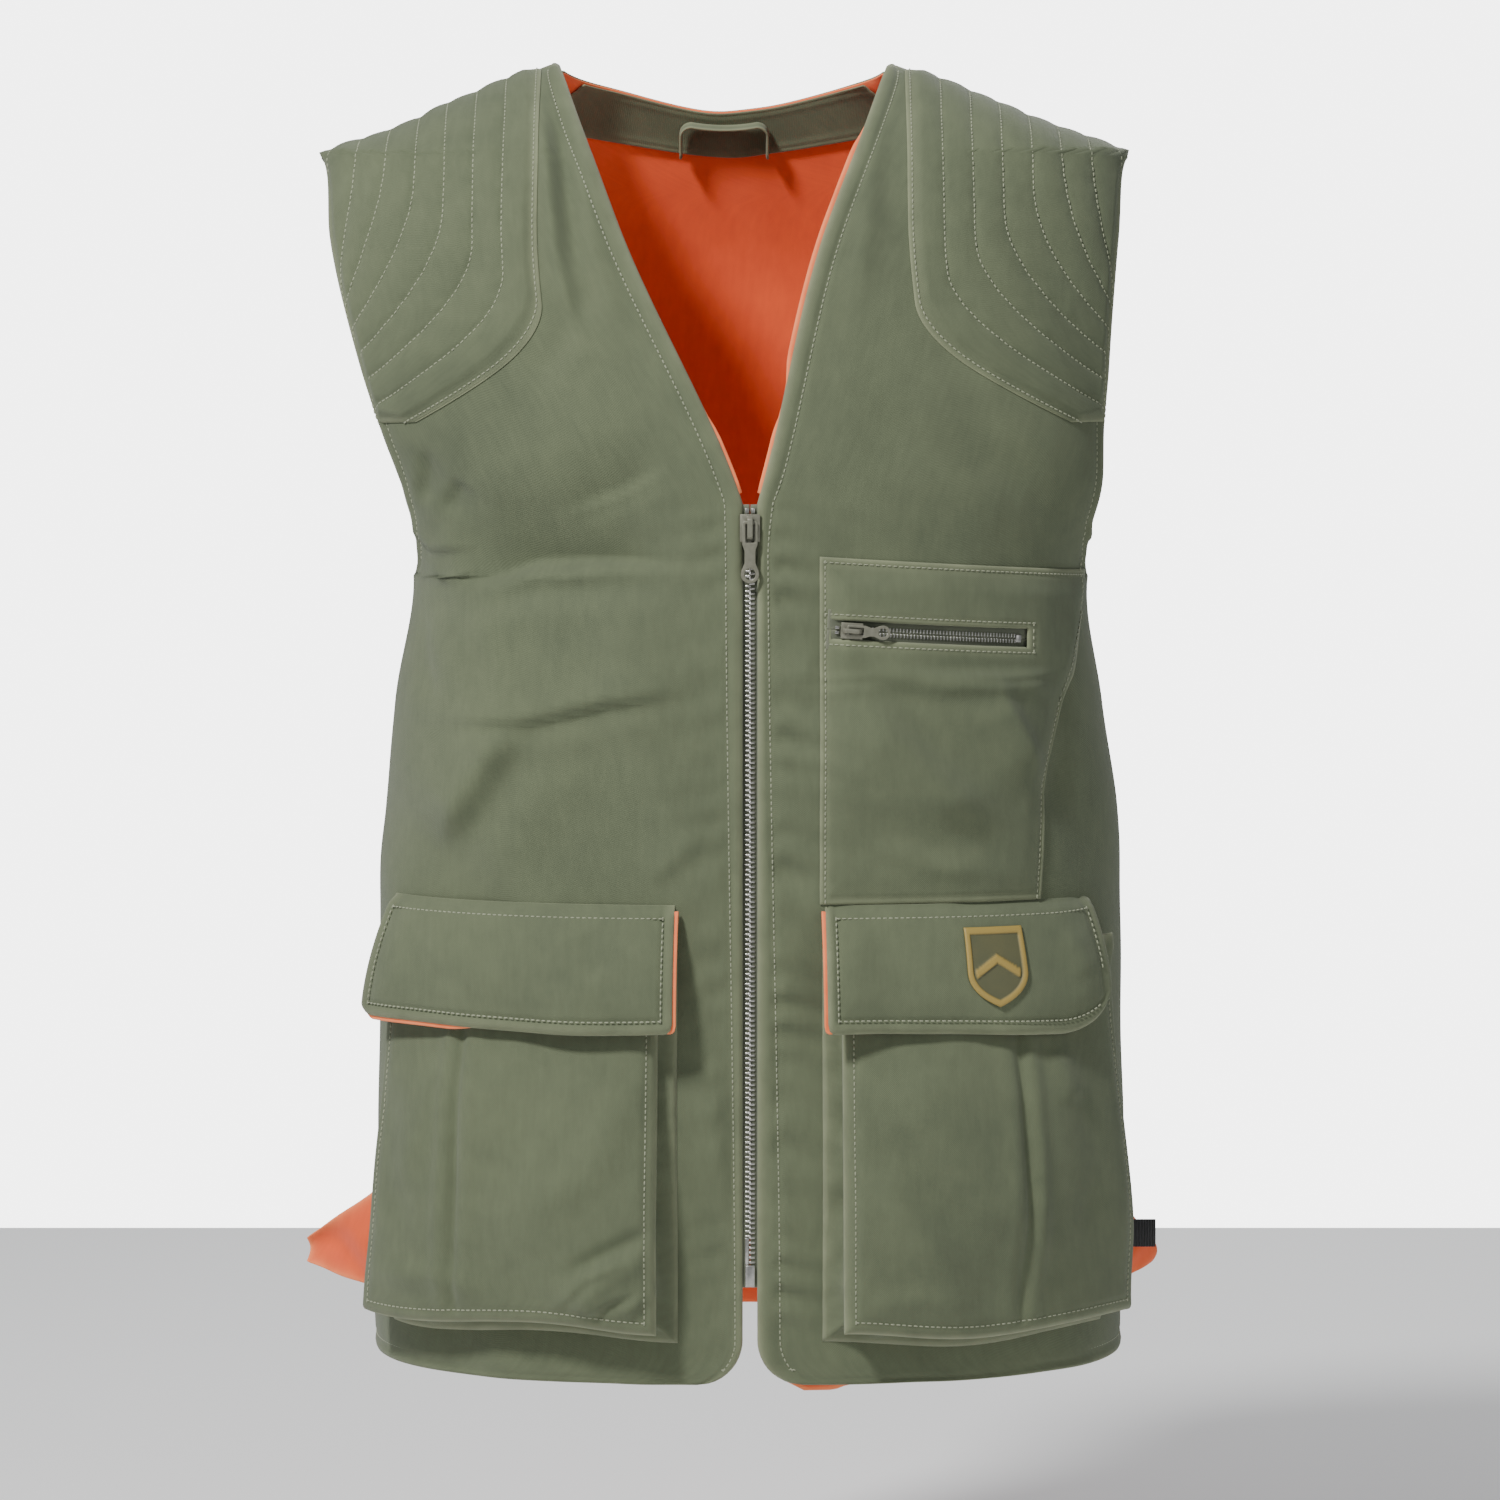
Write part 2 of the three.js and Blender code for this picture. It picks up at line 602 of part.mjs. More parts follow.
sides.forEach(([side, sign]) => {
  const front = sheet(pocketRows, pocketColumns, (row, column, face) => {
    const z = THREE.MathUtils.lerp(pocketTop, pocketBottom, row);
    return skin(sign * pocketAngle(column, z), z, pocketDepth(z) + (face ? shellCloth : 0)).toArray();
  });
  addMesh(`cargo_pocket_${side}`, front, greenTwill);
  const gusset = sheet(gussetRun.length - 1, 1, (row, column, face) => {
    const [across, down] = gussetRun[Math.round(row * (gussetRun.length - 1))];
    const wall = face ? 0 : shellCloth;
    const z = THREE.MathUtils.lerp(pocketTop, pocketBottom, down) + (down === 1 ? wall : 0);
    const inset = (across === 0) - (across === 1);
    const angle = pocketAngle(across, z) + inset * wall / frontDepth(z);
    return skin(sign * angle, z, column ? pocketDepth(z) - fit - 0.2 : 1.2).toArray();
  });
  addMesh(`cargo_gusset_${side}`, gusset, greenTwill);
  const grip = sheet(1, 6, (row, column, face) => {
    const z = flapLevel(0.62) - row * gripTapeHeight;
    const offset = pocketDepth(z) + shellCloth + 0.7;
    return skin(sign * gripAngle(column, z), z, offset + (face ? gripTapeCloth : 0)).toArray();
  });
  addMesh(`pocket_loop_tape_${side}`, grip, gripNylon);
});

// ---- Pocket flaps ----
function flapLevel(share) {
  return flapTopAboveHem - bodyLength - flapLength * share;
}

function gripAngle(share, z) {
  return THREE.MathUtils.lerp(pocketAngle(0.25, z), pocketAngle(0.75, z), share);
}

const flapAngle = (share, z) =>
  THREE.MathUtils.lerp(angleAt(flapInner, z), radians(flapOuterAngle), share);
const flapRest = (share) => flapSeat + flapRise * (1 - (1 - share) ** 2);
const flapLining = liningCloth + fit;

// The flap's straight hinge line touches the curved seam where it stands furthest forward.
function flapHinge(sign) {
  const z = flapLevel(0);
  const seam = (share) => skin(sign * flapAngle(share, z), z, flapRest(0) + flapLining);
  const line = seam(1).sub(seam(0)).normalize();
  const forward = new THREE.Vector3(line.y, -line.x, 0).multiplyScalar(sign);
  const points = Array.from({ length: 41 }, (_, i) => seam(i / 40));
  return points.reduce((best, p) => (p.dot(forward) > best.dot(forward) ? p : best));
}

function flapLayer(sign, pivot, back, cloth) {
  return sheet(4, pocketColumns, (row, column, face) => {
    const z = flapLevel(row);
    const offset = flapRest(row) + back + (face ? cloth : 0);
    return skin(sign * flapAngle(column, z), z, offset).sub(pivot).toArray();
  });
}

sides.forEach(([side, sign]) => {
  const pivot = flapHinge(sign);
  const flap = new THREE.Group();
  flap.position.copy(pivot);
  vest.add(flap);
  addMesh(`pocket_flap_${side}`, flapLayer(sign, pivot, flapLining, shellCloth), greenTwill, flap);
  addMesh(`flap_lining_${side}`, flapLayer(sign, pivot, 0, liningCloth), blazeOrange, flap);
  const grip = sheet(2, 6, (row, column, face) => {
    const share = 0.62 + row * gripTapeHeight / flapLength;
    const z = flapLevel(share);
    const offset = flapRest(share) - 0.95 - (face ? 0 : gripTapeCloth);
    return skin(sign * gripAngle(column, z), z, offset).sub(pivot).toArray();
  });
  addMesh(`flap_hook_tape_${side}`, grip, gripNylon, flap);
  if (sign < 0) return;
  const face = (across, share) => {
    const z = flapLevel(share);
    return skin(angleAt(across, z), z, flapRest(share) + flapLining + shellCloth).sub(pivot);
  };
  const middle = face(badgeAcross, 0.5);
  const right = face(badgeAcross + 5, 0.5).sub(face(badgeAcross - 5, 0.5)).normalize();
  const up = face(badgeAcross, 0.42).sub(face(badgeAcross, 0.58));
  const out = right.clone().cross(up).normalize();
  const upright = out.clone().cross(right);
  const half = badgeWidth / 2;
  const top = badgeHeight / 2;
  const shield = new THREE.Shape();
  shield.moveTo(-half, top);
  shield.lineTo(-half, -top * 0.1);
  shield.quadraticCurveTo(-half, -top * 0.65, 0, -top);
  shield.quadraticCurveTo(half, -top * 0.65, half, -top * 0.1);
  shield.lineTo(half, top);
  const badge = new THREE.ExtrudeGeometry(shield,
    { depth: badgeThickness, bevelEnabled: false, curveSegments: 5 });
  badge.applyMatrix4(new THREE.Matrix4().makeBasis(right, upright, out));
  badge.translate(...middle.addScaledVector(out, fit + 0.3).toArray());
  addMesh('flap_badge', badge, badgeRubber, flap);
});

// ---- Game pouch across the back ----
const pouchTop = pouchTopAboveHem - bodyLength;
const pouchBottom = pouchBottomAboveHem - bodyLength;
addMesh('game_pouch', sheet(7, 12, (row, column, face) => {
  const u = column * 2 - 1;
  const z = THREE.MathUtils.lerp(pouchTop, pouchBottom, row);
  const fullness = (1 - u ** 4) * (1 - row ** 6) * (0.6 + 0.4 * Math.sin(Math.PI * row));
  const offset = 1.6 + pouchRise * fullness + (face ? shellCloth : 0);
  return skin(Math.PI + u * radians(pouchHalfAngle), z, offset).toArray();
}), blazeOrange);

sides.forEach(([side, sign]) => {
  const tip = new THREE.Vector3(sign * pouchTipAcross[side], pouchTipBack,
    pouchTipAboveHem - bodyLength);
  const root = (share) => {
    const z = pouchBottom + (1 - share) * pouchGussetHeight;
    return skin(sign * Math.PI * 7 / 12, z, 0.9);
  };
  const run = tip.clone().sub(root(0.5)).setZ(0).normalize();
  const through = new THREE.Vector3(-run.y, run.x, 0).multiplyScalar(shellCloth / 2);
  addMesh(`pouch_gusset_${side}`, sheet(3, 4, (row, column, face) => {
    const end = tip.clone().setZ(tip.z + (0.5 - row) * 14);
    return root(row).lerp(end, column).addScaledVector(through, face ? 1 : -1).toArray();
  }), blazeOrange);
});

// ---- Webbing tab at the left hip ----
const tabLevel = pouchBottom + pouchGussetHeight * 0.62;
const tabAngle = radians(91);
const tabFrame = new THREE.Matrix4().makeBasis(
  outwards(tabAngle, tabLevel).setZ(0).normalize(),
  new THREE.Vector3(0, 0, 1).cross(outwards(tabAngle, tabLevel).setZ(0).normalize()),
  new THREE.Vector3(0, 0, 1));
const tab = box(0.4, tabLength + 0.4, -tabCloth / 2, tabCloth / 2, -tabWidth / 2, tabWidth / 2)
  .applyMatrix4(tabFrame).translate(...onBody(tabAngle, tabLevel).toArray());
addMesh('side_tab_left', tab, blackWebbing);

// ---- Neck facing and hanging loop inside the back neck ----
const facingOuter = liningInner - 0.5;
const facingInner = facingOuter - liningCloth;
const facing = sheet(1, 8, (row, column, face) => {
  const turn = (column * 2 - 1) * panelEnd(neckRow) * 8 / 12;
  return onBackPanel(bodyRows[Math.round(row)], turn, face ? facingOuter : facingInner).toArray();
});
addMesh('neck_facing', facing, greenTwill);

const loopMiddle = -backNeckDrop - loopHeight / 2 - 3;
const loopShape = shapeOf([
  [-loopHalfWidth, -loopHeight / 2], [-loopHalfWidth, loopHeight / 2 - 6],
  [-loopHalfWidth + 6, loopHeight / 2], [loopHalfWidth - 6, loopHeight / 2],
  [loopHalfWidth, loopHeight / 2 - 6], [loopHalfWidth, -loopHeight / 2],
  [loopHalfWidth - loopCloth, -loopHeight / 2], [loopHalfWidth - loopCloth, loopHeight / 2 - 6.6],
  [loopHalfWidth - 6.6, loopHeight / 2 - loopCloth], [6.6 - loopHalfWidth, loopHeight / 2 - loopCloth],
  [loopCloth - loopHalfWidth, loopHeight / 2 - 6.6], [loopCloth - loopHalfWidth, -loopHeight / 2],
]);
const loop = extrude(loopShape, loopTape).applyMatrix4(flatOnChain);
const hangingLoop = addMesh('hanging_loop', loop, greenTwill);
const lean = outwards(Math.PI, loopMiddle);
hangingLoop.position.copy(skin(Math.PI, loopMiddle, facingInner - 0.95));
hangingLoop.rotation.x = Math.atan2(lean.z, lean.y);

export default vest;
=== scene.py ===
import math

import bmesh
import bpy
import numpy as np
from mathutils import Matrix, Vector


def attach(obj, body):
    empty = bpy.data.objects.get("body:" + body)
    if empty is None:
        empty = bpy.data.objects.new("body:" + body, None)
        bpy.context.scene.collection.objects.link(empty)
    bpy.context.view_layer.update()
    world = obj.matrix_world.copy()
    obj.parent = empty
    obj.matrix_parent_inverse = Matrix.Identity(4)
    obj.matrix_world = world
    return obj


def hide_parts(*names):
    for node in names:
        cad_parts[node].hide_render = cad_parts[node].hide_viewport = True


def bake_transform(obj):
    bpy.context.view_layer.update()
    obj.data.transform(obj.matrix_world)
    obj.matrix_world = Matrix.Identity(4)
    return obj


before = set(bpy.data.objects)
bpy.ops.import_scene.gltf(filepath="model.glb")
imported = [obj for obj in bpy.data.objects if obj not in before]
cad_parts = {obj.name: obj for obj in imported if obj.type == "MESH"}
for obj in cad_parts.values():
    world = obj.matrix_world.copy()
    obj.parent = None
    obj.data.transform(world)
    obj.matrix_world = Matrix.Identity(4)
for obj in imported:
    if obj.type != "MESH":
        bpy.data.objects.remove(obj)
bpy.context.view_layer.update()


# ---- Studio ----------------------------------------------------------------------------------
# The vest stands in front of a pale sky over a pale floor. A half-metre lamp high on its right
# gives the shadows, with a weak broad lamp on its left and another behind. The camera stands level
# with the chest and looks slightly down.
eye_height = -0.202
camera_distance = 2.8
view_width = 0.855
view_drop = 3.84


def new_object(name, data):
    item = bpy.data.objects.new(name, data)
    bpy.context.collection.objects.link(item)
    return item


camera_data = bpy.data.cameras.new("camera")
camera_data.angle = 2 * math.atan(view_width / 2 / camera_distance)
camera_data.clip_end = 20
camera = new_object("camera", camera_data)
camera.location = (0, -camera_distance, eye_height)
camera.rotation_euler = (math.radians(90 - view_drop), 0, 0)
bpy.context.scene.camera = camera


def area_light(name, place, aim, width, power):
    light = bpy.data.lights.new(name, "AREA")
    light.shape = "DISK"
    light.size = width
    light.energy = power
    lamp = new_object(name, light)
    lamp.location = place
    lamp.rotation_euler = (Vector(aim) - Vector(place)).to_track_quat("-Z", "Y").to_euler()


middle = (0, 0, -0.35)
area_light("key_light", (-1.45, -1.75, 1.9), middle, 0.5, 132)
area_light("fill_light", (2.2, -2.2, 0.3), middle, 1.6, 15)
area_light("rim_light", (0.6, 2.2, 1.2), middle, 1.4, 30)

world = bpy.data.worlds.new("studio")
world.use_nodes = True
nodes = world.node_tree.nodes
daylight = nodes["Background"]
backdrop = nodes.new("ShaderNodeBackground")
for sky, color, strength in ((daylight, (0.9, 0.93, 1.0, 1), 0.27), (backdrop, (1, 1, 1, 1), 5.0)):
    sky.inputs["Color"].default_value = color
    sky.inputs["Strength"].default_value = strength
choose = nodes.new("ShaderNodeMixShader")
seen = nodes.new("ShaderNodeLightPath")
for output, socket in ((seen.outputs["Is Camera Ray"], choose.inputs[0]),
                       (daylight.outputs[0], choose.inputs[1]),
                       (backdrop.outputs[0], choose.inputs[2]),
                       (choose.outputs[0], nodes["World Output"].inputs[0])):
    world.node_tree.links.new(output, socket)
bpy.context.scene.world = world


def new_material(name):
    """A material, its node tree and its shader."""
    material = bpy.data.materials.new(name)
    material.use_nodes = True
    return material, material.node_tree, material.node_tree.nodes["Principled BSDF"]


def plain_material(name, color, roughness):
    material, _, shader = new_material(name)
    shader.inputs["Base Color"].default_value = (*color, 1)
    shader.inputs["Roughness"].default_value = roughness
    return material


floor_half, floor_level = 1.6, -0.93
floor_mesh = bpy.data.meshes.new("floor")
floor_mesh.from_pydata([(x * floor_half, y * floor_half, floor_level)
                        for x, y in ((-1, -1), (1, -1), (1, 1), (-1, 1))], [], [(0, 1, 2, 3)])
floor_mesh.materials.append(plain_material("pale_floor", (0.93, 0.93, 0.92), 0.9))
floor = new_object("floor", floor_mesh)


# ---- Body of the vest ------------------------------------------------------------------------
# Every cloth piece lies on one torso form. A place on it is an angle round the body, 0 at the
# centre front and a quarter turn at the left side seam, and a height below the shoulders.
body_length = 0.730
neck_half = 0.093
shoulder_half = 0.228
shoulder_drop = 0.054
underarm_drop = 0.290
v_drop = 0.247
front_edge = 0.0045
roundness = 2.4
arm = underarm_drop - shoulder_drop
width_stations = [
    (shoulder_drop, shoulder_half), (shoulder_drop + 0.2 * arm, 0.235),
    (shoulder_drop + 0.5 * arm, 0.230), (shoulder_drop + 0.75 * arm, 0.214),
    (underarm_drop, 0.193), (0.3615, 0.201), (0.420, 0.209), (body_length, 0.214)]
front_stations = [
    (0, 0.034), (0.22 * v_drop, 0.080), (0.5 * v_drop, 0.10484), (v_drop, 0.126),
    (body_length, 0.137)]
rear_stations = [
    (0, 0.062), (0.22 * v_drop, 0.08804), (0.5 * v_drop, 0.1116), (v_drop, 0.124),
    (body_length, 0.126)]


def through(stations, at):
    """The smooth curve through (position, value) pairs."""
    xs, ys = np.array(stations, dtype=float).T
    slopes = np.empty_like(ys)
    slopes[1:-1] = (ys[2:] - ys[:-2]) / (xs[2:] - xs[:-2])
    slopes[0] = (ys[1] - ys[0]) / (xs[1] - xs[0])
    slopes[-1] = (ys[-1] - ys[-2]) / (xs[-1] - xs[-2])
    at = np.clip(at, xs[0], xs[-1])
    i = np.clip(np.searchsorted(xs, at, side="right") - 1, 0, len(xs) - 2)
    span = xs[i + 1] - xs[i]
    t = (at - xs[i]) / span
    return (ys[i] + (ys[i + 1] - ys[i]) * t * t * (3 - 2 * t)
            + t * (1 - t) ** 2 * span * slopes[i] + t * t * (t - 1) * span * slopes[i + 1])


def smooth(low, high, value):
    t = np.clip((value - low) / (high - low), 0, 1)
    return t * t * (3 - 2 * t)


def half_width(z):
    drop = np.maximum(-np.asarray(z, dtype=float), 0)
    ridge = neck_half + (shoulder_half - neck_half) * drop / shoulder_drop
    return np.where(drop < shoulder_drop, ridge, through(width_stations, drop))


def on_body(angle, z):
    angle, z = np.broadcast_arrays(np.asarray(angle, dtype=float), np.asarray(z, dtype=float))
    sine, cosine = np.sin(angle), np.cos(angle)
    depth = np.where(cosine > 0, through(front_stations, -z), through(rear_stations, -z))
    total = (np.abs(sine) / half_width(z)) ** roundness + (np.abs(cosine) / depth) ** roundness
    radius = total ** (-1 / roundness)
    return np.stack([radius * sine, -radius * cosine, z], axis=-1)


def outwards(angle, z):
    around = on_body(angle + 1e-3, z) - on_body(angle - 1e-3, z)
    up = on_body(angle, z + 5e-4) - on_body(angle, z - 5e-4)
    normal = np.cross(around, up)
    return normal / np.linalg.norm(normal, axis=-1, keepdims=True)


def angle_at(x, z):
    share = np.minimum(np.abs(x) / half_width(z), 1)
    depth = through(front_stations, -np.asarray(z)) * (1 - share ** roundness) ** (1 / roundness)
    return np.sign(x) * np.arctan2(np.abs(x), depth)


def turn_by(angle, z, distance):
    """The angle reached by going distance round the body."""
    step = np.linalg.norm(on_body(angle + 1e-3, z) - on_body(angle - 1e-3, z), axis=-1) / 2e-3
    return angle + distance / step


def beside_line(x, z, points):
    """For places on the cloth: the distance to a line of points, how far along it, and the side."""
    points = np.array(points, dtype=float)
    lengths = np.linalg.norm(np.diff(points, axis=0), axis=1)
    starts = np.concatenate([[0], np.cumsum(lengths)])
    nearest = np.full(np.shape(x), 9.0)
    along = np.zeros(np.shape(x))
    signed = np.zeros(np.shape(x))
    for (ax, az), (bx, bz), length, start in zip(points[:-1], points[1:], lengths, starts):
        ux, uz = (bx - ax) / length, (bz - az) / length
        run = np.clip((x - ax) * ux + (z - az) * uz, 0, length)
        away_x, away_z = x - ax - run * ux, z - az - run * uz
        away = np.hypot(away_x, away_z)
        closer = away < nearest
        nearest = np.where(closer, away, nearest)
        along = np.where(closer, (start + run) / starts[-1], along)
        signed = np.where(closer, away * np.sign(ux * away_z - uz * away_x), signed)
    return nearest, along, signed


def creases(x, z, lines):
    """Soft breaks, each along its own line of points with its width and height."""
    total = 0
    for points, width, height in lines:
        nearest, along, _ = beside_line(x, z, points)
        ends = smooth(0, 0.3, along) * smooth(0, 0.3, 1 - along)
        total = total + height * np.exp(-(nearest / width) ** 2) * (0.15 + 0.85 * ends)
    return total


def folds(x, z, lines):
    """Cloth lapping over itself: it swells softly on one side of a line and turns in on the other.

    A negative height is a hollow instead. The soft side is on the left of a line's direction.
    """
    total = 0
    for points, height, soft, sharp in lines:
        _, along, signed = beside_line(x, z, points)
        ends = smooth(0, 0.35, along) * smooth(0, 0.35, 1 - along)
        above = np.exp(-(np.maximum(signed, 0) / soft) ** 1.3)
        below = np.exp(-(np.minimum(signed, 0) / sharp) ** 2)
        lower_lip = 0.3 * np.exp(-((signed + 3.2 * sharp) / (1.9 * sharp)) ** 2)
        shape = np.where(signed > 0, above, below) + lower_lip
        total = total + height * shape * (0.06 + 0.94 * ends)
    return total


# Where the hanging cloth laps over: (points across and down, height, soft side, sharp side).
body_folds = [
    ([(-0.160, -0.293), (-0.121, -0.279), (-0.077, -0.2765), (-0.030, -0.279)], -0.0120, 0.023, 0.0046),
    ([(-0.158, -0.299), (-0.121, -0.288), (-0.060, -0.286)], 0.0022, 0.004, 0.0060),
    ([(-0.104, -0.251), (-0.072, -0.240), (-0.040, -0.2235)], -0.0032, 0.012, 0.0022),
    ([(-0.176, -0.215), (-0.184, -0.252)], -0.0040, 0.008, 0.0040),
    ([(-0.158, -0.234), (-0.170, -0.254)], -0.0040, 0.009, 0.0040),
    ([(-0.184, -0.366), (-0.121, -0.364), (-0.077, -0.353), (-0.022, -0.346)], 0.0072, 0.024, 0.0050),
    ([(-0.176, -0.440), (-0.146, -0.396), (-0.122, -0.360)], 0.0120, 0.024, 0.0095),
    ([(-0.197, -0.258), (-0.178, -0.273), (-0.150, -0.271)], 0.0030, 0.010, 0.0024),
    ([(-0.188, -0.287), (-0.168, -0.290), (-0.148, -0.283)], 0.0030, 0.009, 0.0022),
    ([(-0.186, -0.300), (-0.178, -0.335), (-0.172, -0.364)], -0.0024, 0.006, 0.0100),
    ([(-0.150, -0.296), (-0.136, -0.330), (-0.128, -0.362)], 0.0020, 0.030, 0.0100),
    ([(0.140, -0.446), (0.108, -0.412), (0.076, -0.380), (0.040, -0.343)], 0.0120, 0.036, 0.0150),
    ([(0.160, -0.404), (0.150, -0.386), (0.127, -0.342)], 0.0060, 0.016, 0.0065),
    ([(0.112, -0.341), (0.140, -0.3425), (0.172, -0.341)], 0.0030, 0.010, 0.0022),
    ([(0.016, -0.341), (0.036, -0.342), (0.074, -0.340)], 0.0034, 0.009, 0.0022),
    ([(0.186, -0.262), (0.198, -0.275)], 0.0026, 0.010, 0.0024),
    ([(-0.062, -0.455), (-0.040, -0.440), (-0.022, -0.420)], 0.0026, 0.014, 0.0060)]
# Gentler breaks: (points across and down, width, height).
body_creases = [
    ([(-0.120, -0.300), (-0.165, -0.330), (-0.178, -0.350)], 0.020, 0.0026),
    ([(-0.105, -0.010), (-0.097, -0.060), (-0.092, -0.110), (-0.083, -0.165)], 0.0050, 0.0030),
    ([(-0.092, -0.020), (-0.086, -0.075), (-0.078, -0.130)], 0.0055, -0.0026),
    ([(-0.078, -0.045), (-0.070, -0.110), (-0.058, -0.160)], 0.007, 0.0018),
    ([(-0.070, -0.120), (-0.095, -0.160), (-0.120, -0.190)], 0.009, -0.0014),
    ([(0.086, -0.020), (0.080, -0.090), (0.068, -0.150)], 0.008, 0.0018),
    ([(0.166, -0.330), (0.170, -0.380), (0.166, -0.430)], 0.010, -0.0022),
    ([(0.050, -0.185), (0.100, -0.215), (0.150, -0.240), (0.185, -0.262)], 0.018, -0.0022),
    ([(0.070, -0.170), (0.120, -0.235), (0.160, -0.262)], 0.012, 0.0014),
    ([(-0.050, -0.190), (-0.110, -0.225), (-0.170, -0.250)], 0.020, 0.0020)]
back_creases = [
    ([(-0.170, -0.270), (-0.090, -0.305), (0.0, -0.300)], 0.014, 0.0040),
    ([(-0.160, -0.295), (-0.080, -0.330), (0.0, -0.322)], 0.015, -0.0040),
    ([(0.170, -0.265), (0.100, -0.290), (0.020, -0.275)], 0.014, 0.0042),
    ([(0.165, -0.290), (0.095, -0.312), (0.030, -0.300)], 0.015, -0.0038),
    ([(-0.110, -0.080), (-0.090, -0.180), (-0.050, -0.260)], 0.020, 0.0030),
    ([(0.120, -0.080), (0.085, -0.190), (0.055, -0.250)], 0.020, -0.0030),
    ([(-0.150, -0.370), (-0.060, -0.385), (0.070, -0.372), (0.150, -0.392)], 0.015, 0.0036),
    ([(-0.150, -0.392), (-0.050, -0.408), (0.080, -0.396)], 0.014, -0.0034)]
random = np.random.default_rng(7)
ripple_waves = random.normal(size=(10, 2)) * 34
ripple_phases = random.uniform(0, 2 * math.pi, 10)


def ripples(x, z):
    """Small uneven softness all over the cloth, about a millimetre high."""
    bent_x = x + 0.010 * np.sin(31 * z + 1.3) + 0.006 * np.sin(77 * x + 19 * z)
    bent_z = z + 0.012 * np.sin(27 * x + 0.4)
    total = sum(np.sin(kx * bent_x * 1.6 + kz * bent_z * 1.1 + phase)
                for (kx, kz), phase in zip(ripple_waves, ripple_phases))
    return 0.00042 * total


def drape(angle, z):
    """How far the hanging cloth stands off the torso form."""
    place = on_body(angle, z)
    x = place[..., 0]
    front = np.cos(angle) > 0
    ahead = creases(x, z, body_creases) * 1.3 + folds(x, z, body_folds)
    behind = creases(x, z, back_creases) * 1.6
    zip_clear = np.where(front & (z < -v_drop + 0.03), smooth(0.008, 0.020, np.abs(x)), 1)
    in_window = (smooth(0.028, 0.042, x) * smooth(0.182, 0.166, x)
                 * smooth(-0.350, -0.336, z) * smooth(-0.285, -0.298, z))
    chest_clear = np.where(front, 1 - in_window, 1)
    side = smooth(0.0, 0.35, np.abs(np.cos(angle)))
    away = np.abs(x) - 0.013
    phase = z * 300 + 2.0 * np.sin(z * 47) + np.abs(x) * 80 + np.sign(x)
    strength = np.where(x > 0, 0.0034, 0.0013) * (0.6 + 0.4 * np.sin(z * 83 + x * 40))
    puckers = strength * np.sin(phase) * np.exp(-np.maximum(away, 0) / 0.016)
    puckers = np.where(front & (z < -v_drop), puckers * smooth(-0.004, 0.004, away), 0)
    falls = np.where(front, ahead, behind) * side
    falls = falls * (1 - 0.9 * smooth(-0.405, -0.438, z) * smooth(0.03, 0.06, x) * front)
    hollow = 0.0013 * in_window * smooth(0.090, 0.125, x) * front
    return (falls + ripples(x, z) * 1.3 + puckers) * zip_clear * chest_clear - hollow


def lean(z):
    """The worn vest sits a little towards its right shoulder."""
    return -0.0150 * smooth(-0.25, -0.09, z)


def cloth(angle, z, offset):
    angle, z = np.broadcast_arrays(np.asarray(angle, dtype=float), np.asarray(z, dtype=float))
    place = on_body(angle, z)
    place = place + outwards(angle, z) * np.asarray(offset + drape(angle, z))[..., None]
    place[..., 0] += lean(z)
    return place


def front_opening(z):
    share = np.clip(1 + z / v_drop, 0, 1)
    neck = front_edge + (neck_half - front_edge) * share ** 1.06
    corner = 0.025
    above = np.clip(body_length + z, 0, corner)
    hem = front_edge + corner - np.sqrt(corner ** 2 - (corner - above) ** 2)
    return np.where(-z < v_drop, neck, hem)


def panel_end(z):
    seam = math.pi / 2 - 0.0002 / half_width(z)
    share = (-z - shoulder_drop) / arm
    kept = 1 - 0.09 * np.sin(math.pi * np.clip(share, 0, 1)) ** 0.6
    cut = np.minimum(angle_at(half_width(z) * kept, z), seam)
    return np.where((share <= 0) | (share >= 1), seam, cut)


# ---- Twill and thread ------------------------------------------------------------------------
# Brushed cotton twill, sage green, a little faded on its edges and ridges. Its weave follows the
# cloth: each panel carries a flat pattern in metres in its UV map named cloth.
def node_group(name, inputs, outputs):
    group = bpy.data.node_groups.new(name, "ShaderNodeTree")
    for label, kind, value in inputs:
        socket = group.interface.new_socket(label, in_out="INPUT", socket_type=kind)
        if value is not None:
            socket.default_value = value
    for label in outputs:
        group.interface.new_socket(label, in_out="OUTPUT", socket_type="NodeSocketFloat")
    return group, group.nodes.new("NodeGroupInput").outputs


def add_node(tree, kind, inputs, **settings):
    """The outputs of a new node; each of its inputs takes a plain value or another's output."""
    node = tree.nodes.new(kind)
    for label, value in settings.items():
        setattr(node, label, value)
    for label, value in inputs.items():
        if isinstance(value, bpy.types.NodeSocket):
            tree.links.new(value, node.inputs[label])
        else:
            node.inputs[label].default_value = value
    return node.outputs


def math_node(tree, operation, first, second):
    return add_node(tree, "ShaderNodeMath", {0: first, 1: second}, operation=operation)[0]


def shares_of(tree, first, first_share, second, second_share):
    """Two values added together, each taken by its share."""
    return math_node(tree, "ADD", math_node(tree, "MULTIPLY", first, first_share),
                     math_node(tree, "MULTIPLY", second, second_share))


def noise(tree, vector, scale, detail, stretch=(1, 1, 1)):
    mapping = add_node(tree, "ShaderNodeMapping", {"Vector": vector, "Scale": stretch})
    return add_node(tree, "ShaderNodeTexNoise",
                    {"Vector": mapping["Vector"], "Scale": scale, "Detail": detail})["Fac"]


